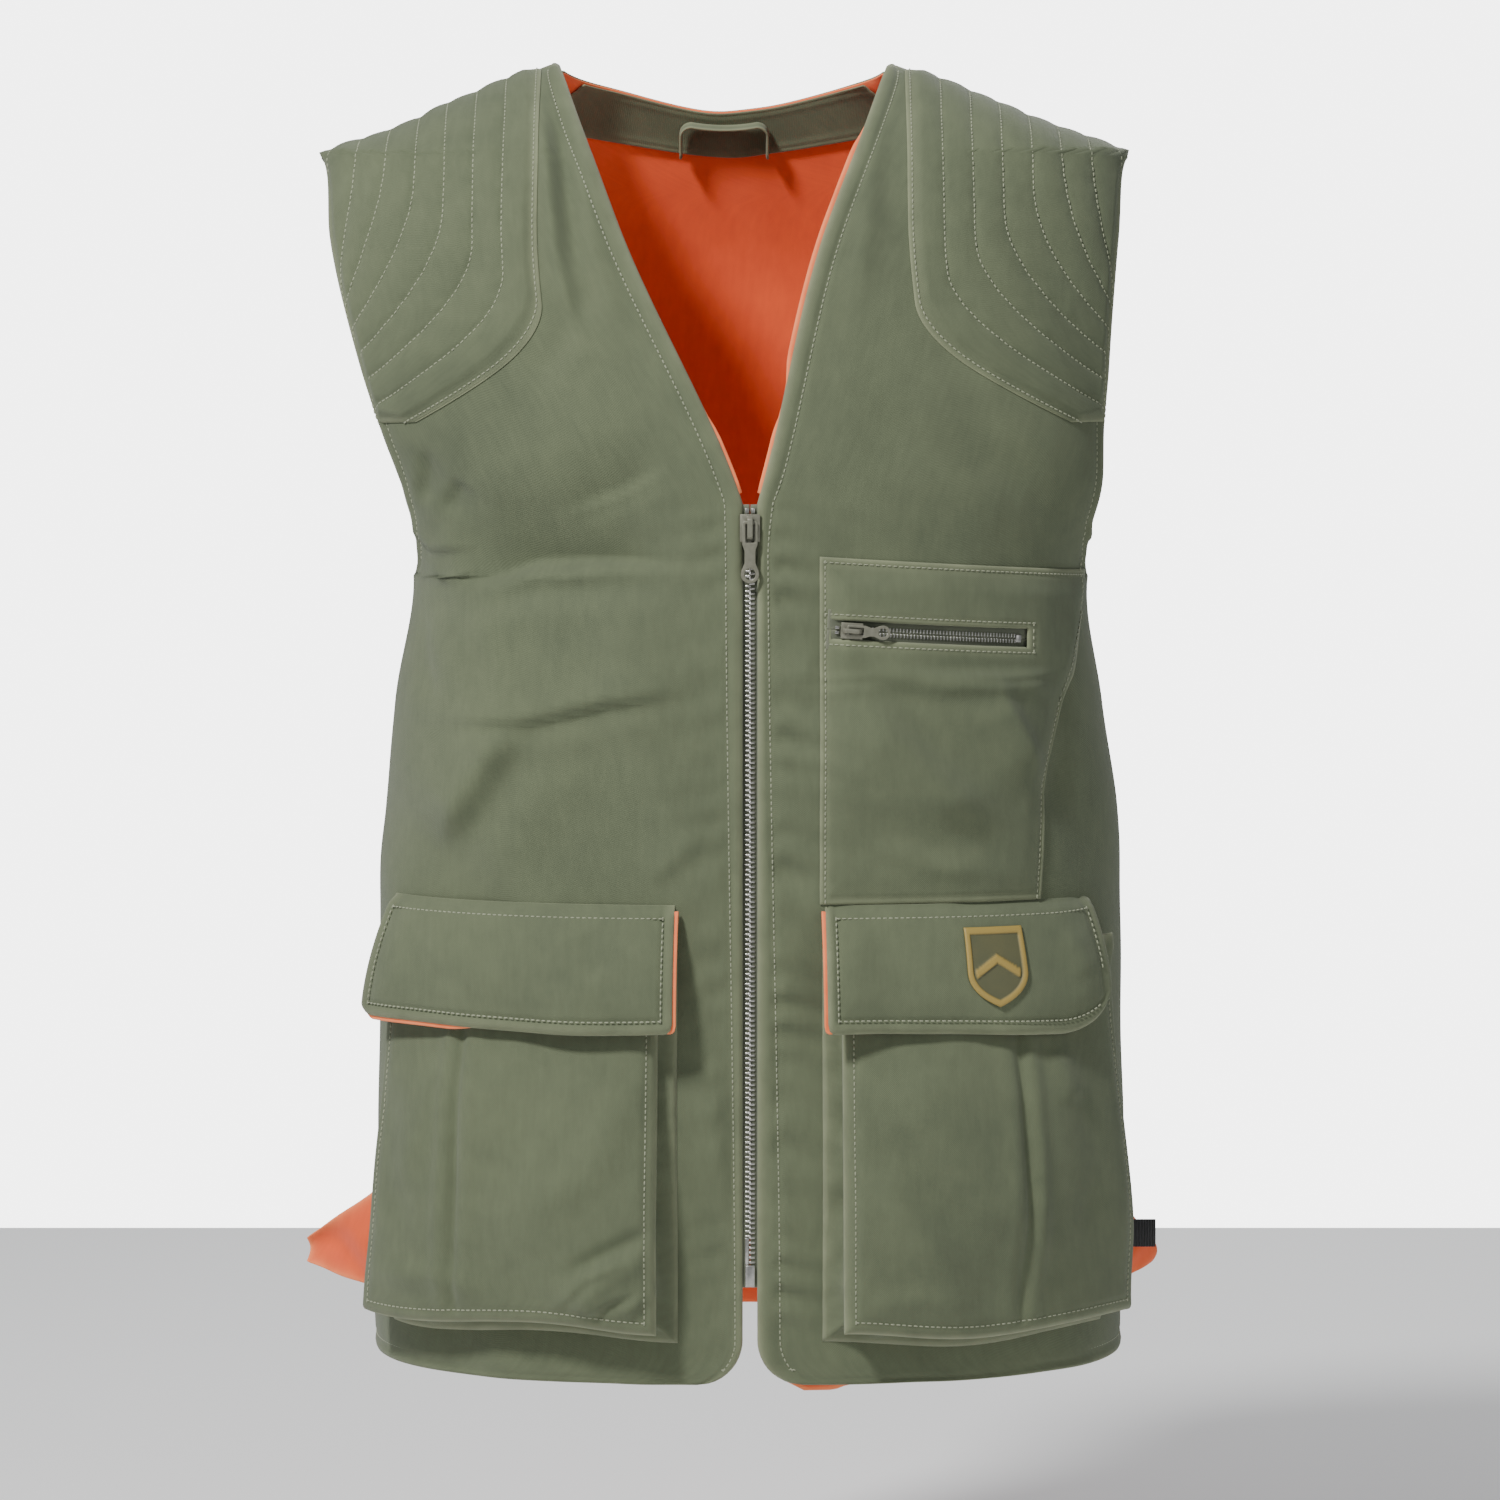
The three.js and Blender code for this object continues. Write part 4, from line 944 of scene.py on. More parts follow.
for side, sign, first, last in (("right", -1, 0.0011, 0.3950), ("left", 1, 0.00245, 0.4095)):
    tooth = tooth_shape("tooth", sign * -0.0006, sign * 0.0006, sign * 0.0013, sign * 0.0027,
                        0.0016, 0.0029)
    teeth = run_of(f"zip_teeth_{side}_row", [[(first, 0, 0), (last, 0, 0)]], tooth, teeth_pitch,
                   zip_metal, down_the_chain)
    bpy.data.objects.remove(tooth)
    fitted(teeth, f"zip_teeth_{side}", "vest")


def softened(node, width, material, body, segments=2):
    """A bevelled copy of a hard part, in its place."""
    copy = bpy.data.meshes.new(node + "_finished")
    shape = bmesh.new()
    shape.from_mesh(bpy.data.objects[node].data)
    bmesh.ops.remove_doubles(shape, verts=shape.verts, dist=2e-6)
    bmesh.ops.dissolve_limit(shape, angle_limit=math.radians(1), verts=shape.verts,
                             edges=shape.edges)
    shape.to_mesh(copy)
    shape.free()
    copy.materials.clear()
    copy.materials.append(material)
    piece = new_object(node + "_finished", copy)
    bevel = piece.modifiers.new("edges", "BEVEL")
    bevel.width = width
    bevel.segments = segments
    bevel.limit_method = "ANGLE"
    bevel.angle_limit = math.radians(35)
    graph = bpy.context.evaluated_depsgraph_get()
    done = bpy.data.meshes.new_from_object(piece.evaluated_get(graph), depsgraph=graph)
    piece.modifiers.clear()
    piece.data = done
    done.polygons.foreach_set("use_smooth", [True] * len(done.polygons))
    done.set_sharp_from_angle(angle=math.radians(35))
    fitted(piece, node, body)
    return piece


paint = metal_material("puller_paint", (0.150, 0.148, 0.108), (0.250, 0.245, 0.190), 0.38)
paint.node_tree.nodes["Principled BSDF"].inputs["Metallic"].default_value = 0.35
for node in ("zip_top_stop_right", "zip_top_stop_left", "zip_insertion_pin"):
    softened(node, 0.0003, zip_metal, "vest")
softened("zip_retainer_box", 0.0006, zip_metal, "vest", 3)
softened("zip_slider", 0.00035, paint, "main_slider")


def puller_plate(name, scale, length, pivot, across_way, up_way, out_way, body):
    """A pressed and painted plate: a slot over the slider's bar, a waist and a finger ring."""
    half, slot_half, slot_end, top = 0.0050 * scale, 0.0024 * scale, 0.0119 * scale, 0.0009 * scale
    shoulder, waist = 0.0042 * scale, 0.0030 * scale
    ring_at = top - length + half
    turns = np.linspace(0, math.pi, 21)
    ring = np.stack([half * np.cos(turns + math.pi), ring_at + half * np.sin(turns + math.pi)], axis=1)
    down_side = np.array([(shoulder, top - 0.0012 * scale), (shoulder, -slot_end),
                          (waist, -slot_end - 0.0035 * scale), (waist, ring_at + half + 0.001 * scale),
                          (half * 0.93, ring_at + half * 0.42)])
    cap = np.array([(shoulder - 0.0012 * scale, top), (-shoulder + 0.0012 * scale, top)])
    outline = np.concatenate([ring, down_side[::-1], cap, down_side * (-1, 1)])
    circle = np.linspace(0, 2 * math.pi, 25)[:-1]
    hole = np.stack([0.0029 * scale * np.cos(circle), ring_at + 0.0032 * scale * np.sin(circle)], axis=1)
    slot = np.array([(slot_half, -0.0009 * scale), (-slot_half, -0.0009 * scale),
                     (-slot_half, -slot_end + 0.001 * scale), (slot_half, -slot_end + 0.001 * scale)])
    drawn = bpy.data.curves.new(name + "_outline", "CURVE")
    drawn.dimensions = "2D"
    drawn.fill_mode = "BOTH"
    for cut in (outline, hole, slot):
        spline = drawn.splines.new("POLY")
        spline.points.add(len(cut) - 1)
        for point, (right, up) in zip(spline.points, cut):
            point.co = (right, up, 0, 1)
        spline.use_cyclic_u = True
    edge_round = 0.00035 * scale
    drawn.bevel_depth = edge_round
    drawn.bevel_resolution = 2
    drawn.offset = -edge_round
    drawn.extrude = 0.0009 * scale - edge_round
    pattern = new_object(name + "_outline", drawn)
    graph = bpy.context.evaluated_depsgraph_get()
    mesh = bpy.data.meshes.new_from_object(pattern.evaluated_get(graph), depsgraph=graph)
    bpy.data.objects.remove(pattern)
    shape = bmesh.new()
    shape.from_mesh(mesh)
    bmesh.ops.remove_doubles(shape, verts=shape.verts, dist=1e-6)
    ways = np.array([across_way, up_way, out_way])
    for vert in shape.verts:
        vert.co = Vector(np.array(pivot) + np.array(vert.co) @ ways)
    bmesh.ops.recalc_face_normals(shape, faces=shape.faces)
    shape.to_mesh(mesh)
    shape.free()
    mesh.materials.clear()
    mesh.materials.append(paint)
    mesh.polygons.foreach_set("use_smooth", [True] * len(mesh.polygons))
    mesh.set_sharp_from_angle(angle=math.radians(50))
    piece = new_object(name + "_plate", mesh)
    fitted(piece, name, body)


puller_plate("zip_puller", 1.0, 0.034, (0, -0.129838, -0.257417), (1, 0, 0),
             (0, math.sin(zip_slope), math.cos(zip_slope)),
             (0, -math.cos(zip_slope), math.sin(zip_slope)), "main_puller")


# ---- Chest pocket ----------------------------------------------------------------------------
# A twill panel sewn to the left front, with a slit for a small coil zip near its top. The zip
# follows the chest on an arc, and tips down a little towards the side.
chest_centre = (0.035791, 0.082503, -0.315)
chest_radius = 0.2152
chest_start = math.asin((0.046 - 0.035791) / 0.2086)
chest_tip = math.radians(3.5)
chest_depth = 0.8 * chain_depth


def tipped(points):
    """Places about the arc's centre, tipped down towards the side with the zip."""
    x, y, z = np.moveaxis(points, -1, 0)
    return np.stack([chest_centre[0] + x * math.cos(chest_tip) + z * math.sin(chest_tip),
                     chest_centre[1] + y,
                     chest_centre[2] - x * math.sin(chest_tip) + z * math.cos(chest_tip)], axis=-1)


def on_chest_zip(length, behind, up):
    """A place on the chest zip: along the chain, behind its cloth face, and up across it."""
    turn = chest_start + np.asarray(length) / chest_radius
    radius = chest_radius - behind
    return tipped(np.stack([radius * np.sin(turn), -radius * np.cos(turn), up + 0 * turn], axis=-1))


arc_lengths = np.linspace(0.0035, 0.1055, 80)
for row, sign, shift in (("upper", 1, 0.0), ("lower", -1, 0.0006)):
    coil = tooth_shape("coil", sign * 0.0004, sign * 0.0010, sign * 0.0017, sign * 0.0026,
                       0.0011, 0.0022)
    turn = chest_start + (arc_lengths + shift) / chest_radius
    reach = chest_radius - chest_depth
    line = np.stack([reach * np.sin(turn), -reach * np.cos(turn), 0 * turn], axis=1)
    teeth = run_of(f"chest_zip_coil_{row}", [line], coil, 0.0019, zip_metal, tipped)
    bpy.data.objects.remove(coil)
    fitted(teeth, f"chest_zip_teeth_{row}", "vest")
    softened(f"chest_zip_top_stop_{row}", 0.0003, zip_metal, "vest")
    along, up = np.meshgrid(np.linspace(-0.004, 0.121, 90), np.linspace(0.0003, 0.0108, 12),
                            indexing="ij")
    tape = cloth_piece(f"chest_zip_tape_{row}_strip", on_chest_zip(along, chest_depth - 0.0004, sign * up),
                       on_chest_zip(along, chest_depth + 0.0004, sign * up), tape_cloth, start=0.3)
    fitted(tape, f"chest_zip_tape_{row}", "vest")
softened("chest_zip_bottom_stop", 0.0004, zip_metal, "vest")
softened("chest_zip_slider", 0.0003, paint, "chest_slider")
slider_turn = chest_start + 0.009 / chest_radius
chest_ways = tipped(np.array([(0, 0, 1), (-math.cos(slider_turn), -math.sin(slider_turn), 0),
                              (math.sin(slider_turn), -math.cos(slider_turn), 0)])) - chest_centre
puller_plate("chest_zip_puller", 0.8, 0.024, (0.053139, -0.134892, -0.316061), *chest_ways,
             "chest_puller")

window_half = 0.0056
window_left = float(on_chest_zip(-0.0026, 0.0, 0.0)[0])
window_right = float(on_chest_zip(0.1102, 0.0, 0.0)[0])
window_z = chest_centre[2]
panel_inner, panel_top, panel_foot = 0.038, -0.276, -0.4655
edge_steps = np.array([0.0, 0.0008, 0.002, 0.0036])
panel_levels = np.concatenate([
    panel_top - edge_steps, np.linspace(panel_top - 0.0055, window_z + window_half + 0.001, 24),
    window_z + np.linspace(window_half, -window_half, 7),
    np.linspace(window_z - window_half - 0.001, panel_foot + 0.005, 80),
    panel_foot + edge_steps[::-1]])
panel_across = np.concatenate([panel_inner + np.linspace(0, window_left - panel_inner - 0.0005, 8),
                               np.linspace(window_left, window_right, 82)])
z_level = panel_levels[:, None]


def panel_side(level):
    """How far from the centre the panel's outer edge is, at a level."""
    return np.interp(-level, [0.276, 0.300, 0.337, 0.374, 0.405, 0.466],
                     [0.1885, 0.1860, 0.1795, 0.1692, 0.1630, 0.1590])


def zip_tilt(x):
    """How much lower the tipped zip is, at a distance across."""
    return math.tan(chest_tip) * (x - chest_centre[0])


to_side = np.linspace(0, 1, 22)[None, 1:]
x = np.concatenate([panel_across[None, :] + 0 * z_level,
                    window_right + (panel_side(z_level) - window_right) * to_side], axis=1)
z = z_level - zip_tilt(x) * smooth(-0.360, -0.325, z_level)
angle = angle_at(x, z)
middle_x = (x[1:, 1:] + x[:-1, :-1]) / 2
window_cells = ((np.abs((z_level[1:] + z_level[:-1]) / 2 - window_z) < window_half)
                & (middle_x > window_left) & (middle_x < window_right))
surface = on_body(angle, z)
gap = edge_gap(surface)
outside_x = np.maximum(np.maximum(window_left - x, x - window_right), 0)
outside_z = np.maximum(np.abs(z_level - window_z) - window_half, 0)
window_gap = np.hypot(outside_x, outside_z)
near_window = np.exp(-(window_gap / 0.03) ** 2)
lift = 0.0004 + smooth(0.0, 0.016, gap) * (0.0016 + 0.0040 * near_window)
panel_creases = [([(0.052, -0.338), (0.095, -0.343), (0.150, -0.347)], 0.006, 0.0022),
                 ([(0.060, -0.350), (0.110, -0.356), (0.155, -0.357)], 0.007, -0.0016),
                 ([(0.060, -0.430), (0.100, -0.446), (0.135, -0.448)], 0.007, 0.0020)]
lift = lift + creases(x, z, panel_creases) * smooth(0.004, 0.02, gap)
sewn = sewn_offset(gap, 0.0028) + 0.6 * sewn_offset(window_gap, 0.0026, 0.0008)
panel = cloth_piece("chest_pocket_cloth", cloth(angle, z, lift + sewn + shell_cloth),
                    cloth(angle, z, np.maximum(lift + sewn, 0.0004)), twill,
                    gap=np.minimum(gap, window_gap + 0.0008), hole=window_cells, start=0.7)
fitted(panel, "chest_pocket_panel", "vest")
panel_x, panel_z, panel_height = x, z, lift + sewn + shell_cloth


# ---- Cargo pockets ---------------------------------------------------------------------------
# Large bellows pockets, one on each front. The bag's face has a pleat down its middle, and its
# sides and bottom are gussets folded inwards, so that the pocket can swell.
pocket_top = -0.488
pocket_outer = math.radians(72)
pocket_inner = 0.050
pocket_width, pocket_height = 0.165, 0.210
pleat_at = {-1: -0.152, 1: 0.140}
pleat_ridges = ((-0.0030, 0, 0.0022), (0.0022, 0.0065, 0.0036), (0.0012, -0.007, 0.0045))
pocket_low = {-1: -0.697, 1: -0.701}
pocket_creases = {
    -1: [([(-0.060, -0.560), (-0.085, -0.610), (-0.120, -0.640)], 0.012, 0.0030),
         ([(-0.190, -0.560), (-0.186, -0.610), (-0.176, -0.660)], 0.009, -0.0026),
         ([(-0.052, -0.655), (-0.075, -0.668), (-0.095, -0.690)], 0.006, 0.0036),
         ([(-0.048, -0.640), (-0.070, -0.652), (-0.098, -0.668)], 0.005, -0.0034),
         ([(-0.052, -0.676), (-0.068, -0.688)], 0.004, 0.0030),
         ([(-0.110, -0.540), (-0.120, -0.590), (-0.140, -0.640)], 0.014, -0.0022),
         ([(-0.130, -0.680), (-0.160, -0.672), (-0.195, -0.676)], 0.008, 0.0028)],
    1: [([(0.052, -0.620), (0.090, -0.655), (0.120, -0.685)], 0.014, 0.0030),
        ([(0.168, -0.560), (0.176, -0.610), (0.170, -0.660)], 0.009, -0.0026),
        ([(0.055, -0.684), (0.090, -0.680), (0.120, -0.688)], 0.007, 0.0024),
        ([(0.160, -0.545), (0.166, -0.580)], 0.007, 0.0026)]}
pocket_folds = {
    -1: [([(-0.188, -0.640), (-0.170, -0.590), (-0.166, -0.548)], 0.0026, 0.020, 0.0080),
         ([(-0.105, -0.690), (-0.085, -0.668), (-0.060, -0.655)], 0.0040, 0.012, 0.0030),
         ([(-0.092, -0.694), (-0.074, -0.680), (-0.056, -0.672)], 0.0034, 0.008, 0.0026)],
    1: [([(0.052, -0.535), (0.085, -0.580), (0.120, -0.620), (0.165, -0.672)], 0.0085, 0.045, 0.0170),
        ([(0.060, -0.600), (0.085, -0.635), (0.105, -0.670)], 0.0035, 0.022, 0.0090)]}


def pocket_depth(z):
    return 0.008 + 0.015 * np.clip((pocket_top - z) / pocket_height, 0, 1.02)


def pocket_angle(sign, across, z):
    inner = angle_at(pocket_inner, z)
    return sign * (inner + (pocket_outer - inner) * across)


def pocket_place(sign, across, down, offset):
    """A place on a cargo pocket's face, by its shares across and down."""
    low = pocket_low[sign] + 0.0025 * np.sin(across * 7 + 1.5 * sign) * down
    z = pocket_top + (low - pocket_top) * down
    angle = pocket_angle(sign, across, z)
    base = on_body(angle, z)
    x = base[..., 0]
    gap = np.minimum(np.minimum(across, 1 - across) * pocket_width, (1 - down) * pocket_height)
    below_flap = smooth(-0.535, -0.575, z)
    crown = 0.0046 * np.sin(math.pi * np.clip(across, 0, 1)) ** 0.8 * below_flap
    crown = crown * smooth(0, 0.25, 1 - down)
    breaks = creases(x, z, pocket_creases[sign]) + folds(x, z, pocket_folds[sign])
    off = (x - pleat_at[sign]) * sign
    pleat = sum(depth * np.exp(-((off - at) / width) ** 2) for depth, at, width in pleat_ridges)
    pleat = pleat * smooth(-0.500, -0.530, z) * (0.75 + 0.25 * np.cos(31 * z))
    rounded = -0.0042 * np.exp(-gap / 0.0042) * smooth(0.03, 0.10, down + across * 0)
    rim = sewn_offset(gap, 0.0065) * 0.7
    height = (pocket_depth(z) + offset + (crown + breaks + pleat) * smooth(0, 0.012, gap)
              + ripples(x + 0.3, z) * 1.1 * smooth(0.05, 0.2, down) + rounded + rim)
    return base + outwards(angle, z) * height[..., None]


across = np.concatenate([[0, 0.006, 0.014, 0.025], np.linspace(0.04, 0.96, 100),
                         [0.975, 0.986, 0.994, 1.0]])
down = np.concatenate([[0, 0.006], np.linspace(0.015, 0.965, 112), [0.976, 0.986, 0.994, 1.0]])
for side, sign in (("right", -1), ("left", 1)):
    a, d = np.meshgrid(across, down)
    bag = cloth_piece(f"cargo_pocket_{side}_face", pocket_place(sign, a, d, shell_cloth),
                      pocket_place(sign, a, d, 0.0), twill, start=1.1)
    fitted(bag, f"cargo_pocket_{side}", "vest")

    down_edge = np.linspace(0.004, 1, 91)
    run = np.concatenate([
        np.stack([np.zeros(91), down_edge], axis=1),
        np.stack([np.linspace(0, 1, 91), np.ones(91)], axis=1)[1:],
        np.stack([np.ones(91), down_edge[::-1]], axis=1)[1:]])
    rim = pocket_place(sign, run[:, 0], run[:, 1], 0.0006)
    z = rim[:, 2]
    angle = pocket_angle(sign, run[:, 0], z)
    inner_side = smooth(0.5, 0.0, run[:, 0])
    low_side = smooth(0.85, 1.0, run[:, 1])
    root_z = z - 0.008 * low_side
    root = cloth(turn_by(angle, root_z, -sign * 0.011 * inner_side), root_z, 0.0002)
    centre = pocket_place(sign, np.array([0.5]), np.array([0.5]), 0.0)
    normal = outwards(angle, z)
    inwards = centre - rim
    inwards = inwards - np.sum(inwards * normal, axis=1, keepdims=True) * normal
    inwards /= np.linalg.norm(inwards, axis=1, keepdims=True)
    c = np.linspace(0, 1, 13)[:, None, None]
    s = np.linspace(0, 1, len(run))[None, :, None]
    tuck = 0.0065 * np.sin(math.pi * c) ** 0.8 * (1 + 0.25 * np.sin(s * 61) + 0.15 * np.sin(s * 143))
    folded = root[None] + (rim - root)[None] * c + inwards[None] * (tuck + 0.0006)
    folded = folded + normal[None] * 0.0007 * np.sin(s * 97 + c * 5) * np.sin(math.pi * c)
    gusset = cloth_piece(f"cargo_gusset_{side}_fold", folded, folded + inwards[None] * 0.0013,
                         twill, start=1.5)
    fitted(gusset, f"cargo_gusset_{side}", "vest")


# ---- Pocket flaps ----------------------------------------------------------------------------
# Two layers turned and topstitched: twill outside and blaze lining inside, which shows along the
# free edges. A flap is sewn on along its top. Its grip tape is nylon.
flap_top = -0.466
flap_length = 0.068
flap_inner = 0.041
flap_reach = {-1: math.radians(73), 1: math.radians(68)}
flap_cloth = 0.0016
flap_round = {-1: 0.008, 1: 0.034}
flap_lift = 0.0015
flap_creases = {-1: [([(-0.175, -0.478), (-0.150, -0.500), (-0.120, -0.512)], 0.009, 0.0016),
                     ([(-0.090, -0.480), (-0.075, -0.505)], 0.010, -0.0014)],
                1: [([(0.060, -0.482), (0.080, -0.505), (0.086, -0.522)], 0.010, -0.0016),
                    ([(0.165, -0.482), (0.176, -0.510)], 0.009, 0.0016)]}


def flap_place(sign, across, down, offset, side_roll=0.0, low_roll=0.0):
    """A place on a flap, by its shares across and down; a roll is how far an edge goes on."""
    outer_gap = (1 - across) * pocket_width
    inner_gap = across * pocket_width
    corner = 0.0
    for corner_gap, radius in ((outer_gap, flap_round[sign]), (inner_gap, 0.005)):
        short = radius - np.clip(corner_gap, 0, radius)
        corner = corner + radius - np.sqrt(np.maximum(radius ** 2 - short ** 2, 0))
    longer = (0.007 * across ** 2 if sign > 0 else 0.0015 * np.sin(across * 5))
    length = flap_length + longer - corner + low_roll
    z = flap_top - length * down
    inner = angle_at(flap_inner - side_roll, z)
    angle = sign * (inner + (flap_reach[sign] - inner) * across)
    base = on_body(angle, z)
    x = base[..., 0]
    share = np.clip((flap_top - z) / flap_length, 0, 1)
    rest = 0.0016 + 0.017 * (1 - (1 - share) ** 2)
    seated = smooth(0, 0.07, down)
    wave = 0.0014 * np.sin(across * 9.5 + 1.2 * sign) + 0.0009 * np.sin(across * 21 + 0.4)
    wave = wave * down ** 2
    curl = 0.0022 * np.exp(-inner_gap / 0.014) * down ** 2
    breaks = creases(x, z, flap_creases[sign])
    gap = np.minimum(np.minimum(outer_gap, inner_gap), (1 - down) * length)
    height = (rest + offset) * (0.40 + 0.60 * seated) + wave + curl + breaks * smooth(0, 0.01, gap)
    return base + outwards(angle, z) * height[..., None], gap, down * length


across = np.concatenate([[0, 0.005, 0.012, 0.02], np.linspace(0.032, 0.96, 112),
                         [0.975, 0.986, 0.994, 1.0]])
down = np.concatenate([[0, 0.012, 0.026, 0.042], np.linspace(0.06, 0.95, 46), [0.965, 0.98, 0.992, 1.0]])
for side, sign in (("right", -1), ("left", 1)):
    a, d = np.meshgrid(across, down)
    _, gap, fall = flap_place(sign, a, d, 0.0)
    relief = sewn_offset(gap, 0.0068) + 0.0010 * smooth(0.006, 0.02, gap)
    relief = relief - 0.0007 * np.exp(-((fall - 0.0035) / 0.0014) ** 2)
    outside = flap_place(sign, a, d, flap_lift + flap_cloth + relief)[0]
    flap = cloth_piece(f"pocket_flap_{side}_cloth", outside,
                       flap_place(sign, a, d, flap_lift + relief)[0], twill, gap=gap, start=1.9)
    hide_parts(f"pocket_flap_{side}")
    low = 0.0022 * np.exp(-a / 0.03) - 0.0010
    if sign < 0:
        low = low + 0.0030 * smooth(0.60, 0.72, a) * smooth(1.0, 0.95, a)
    d = 0.050 + 0.950 * d
    under = cloth_piece(f"flap_lining_{side}_cloth", flap_place(sign, a, d, lining_cloth, 0.0019, low)[0],
                        flap_place(sign, a, d, 0.0, 0.0019, low)[0], blaze, gap=gap)
    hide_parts(f"flap_lining_{side}")
    for piece in (flap, under):
        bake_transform(piece)

grip_material = cloth_material("grip_tape", (0.040, 0.048, 0.032), (0.100, 0.112, 0.078),
                               (0.13, 0.14, 0.1), pitch=0.0012, bump=0.9, own_pattern=False)
for side, sign in (("right", -1), ("left", 1)):
    a, d = np.meshgrid(np.linspace(0.27, 0.75, 40), np.linspace(0.62, 0.62 + 0.018 / flap_length, 14))
    fuzz = 0.00025 * np.sin(a * 600) * np.sin(d * 300)
    hooks = cloth_piece(f"flap_hook_tape_{side}_strip", flap_place(sign, a, d, -0.0010)[0],
                        flap_place(sign, a, d, -0.00215 + fuzz)[0], grip_material)
    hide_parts(f"flap_hook_tape_{side}")
    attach(hooks, f"flap_{side}")
    z = flap_top - 0.62 * flap_length - np.linspace(0, 0.018, 14)[:, None]
    a = np.linspace(0.25, 0.75, 60)[None, :] + 0 * z
    d = (pocket_top - z) / (pocket_top - pocket_low[sign]) + 0 * a
    fuzz = 0.0003 * np.sin(a * 900) * np.sin(d * 900)
    loops = cloth_piece(f"pocket_loop_tape_{side}_strip",
                        pocket_place(sign, a, d, shell_cloth + 0.0016 + fuzz),
                        pocket_place(sign, a, d, shell_cloth + 0.0003), grip_material)
    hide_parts(f"pocket_loop_tape_{side}")
    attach(loops, "vest")


# ---- Shield badge ----------------------------------------------------------------------------
# A moulded soft rubber badge sewn to the left flap: a plain dark green shield, with a raised rim
# and one raised chevron in old gold.
badge_material = plain_material("badge_rubber", (0.16, 0.18, 0.125), 0.6)
tree = badge_material.node_tree
shader = tree.nodes["Principled BSDF"]
place = add_node(tree, "ShaderNodeTexCoord", {})["Object"]
raised = add_node(tree, "ShaderNodeAttribute", {}, attribute_name="edge")["Fac"]
gilding = shares_of(tree, noise(tree, place, 60, 3), 0.18, raised, 0.8)
tint = mixed(tree, gilding, (0.060, 0.072, 0.036, 1), (0.36, 0.25, 0.055, 1))
tree.links.new(tint, shader.inputs["Base Color"])
set_relief(tree, shader, noise(tree, place, 900, 3), 0.2, 0.0002)

badge_half, badge_tall, badge_across, badge_down = 0.015, 0.043, 0.128, 0.5
t = np.linspace(0, 1, 19)[1:]
curve = np.stack([-2 * (1 - t) * t - (1 - t) ** 2,
                  -0.1 * (1 - t) ** 2 - 2 * (1 - t) * t * 0.65 - t ** 2], axis=1)
half = np.concatenate([np.stack([np.linspace(0, -1, 14), np.linspace(1, 1, 14)], axis=1),
                       np.stack([np.full(12, -1.0), np.linspace(1, -0.1, 12)], axis=1)[1:], curve])
outline = np.concatenate([half, (half * (-1, 1))[::-1][1:-1]])
outline[:, 0] *= badge_half
outline[:, 1] *= badge_tall / 2
rings = np.concatenate([np.linspace(0.02, 0.78, 24), [0.80, 0.82, 0.85, 0.90, 0.94, 0.97, 0.99, 1.0]])
flat = outline[None] * rings[:, None, None]
middle_z = flap_top - badge_down * flap_length
chevron_line = flat[..., 1] + 0.0035 - 0.008 + np.abs(flat[..., 0]) * 0.75
chevron = smooth(0.0030, 0.0019, np.abs(chevron_line)) * smooth(0.78, 0.72, rings)[:, None]
rim = smooth(0.80, 0.85, rings)[:, None] + 0 * chevron
bulk = 0.0011 + 0.0009 * np.maximum(rim, chevron) - 0.0007 * smooth(0.96, 1.0, rings)[:, None]


def on_badge(offset):
    z = middle_z + flat[..., 1]
    x = badge_across + flat[..., 0]
    inner = angle_at(flap_inner, z)
    across = (angle_at(x, z) - inner) / (flap_reach[1] - inner)
    length = flap_length + 0.007 * across ** 2
    return flap_place(1, across, (flap_top - z) / length, flap_lift + flap_cloth + 0.0010 + offset)[0]


loops = rings.size
count = outline.shape[0]
base = loops * count
points = np.concatenate([on_badge(bulk).reshape(-1, 3),
                         on_badge(np.full(bulk.shape, 0.0001)).reshape(-1, 3)])
faces = []
for r in range(loops - 1):
    for i in range(count):
        j = (i + 1) % count
        faces.append([r * count + i, (r + 1) * count + i, (r + 1) * count + j, r * count + j])
        faces.append([base + r * count + j, base + (r + 1) * count + j, base + (r + 1) * count + i,
                      base + r * count + i])
last = (loops - 1) * count
for i in range(count):
    j = (i + 1) % count
    faces.append([last + i, base + last + i, base + last + j, last + j])
faces.append(list(range(count)))
faces.append([base + i for i in range(count)][::-1])
raised = np.concatenate([np.maximum(rim, chevron).ravel(), np.zeros(base)])
badge = mesh_piece("flap_badge_shield", points, faces, badge_material, edge=raised)
face_outwards(badge.data)
fitted(badge, "flap_badge", "flap_left")


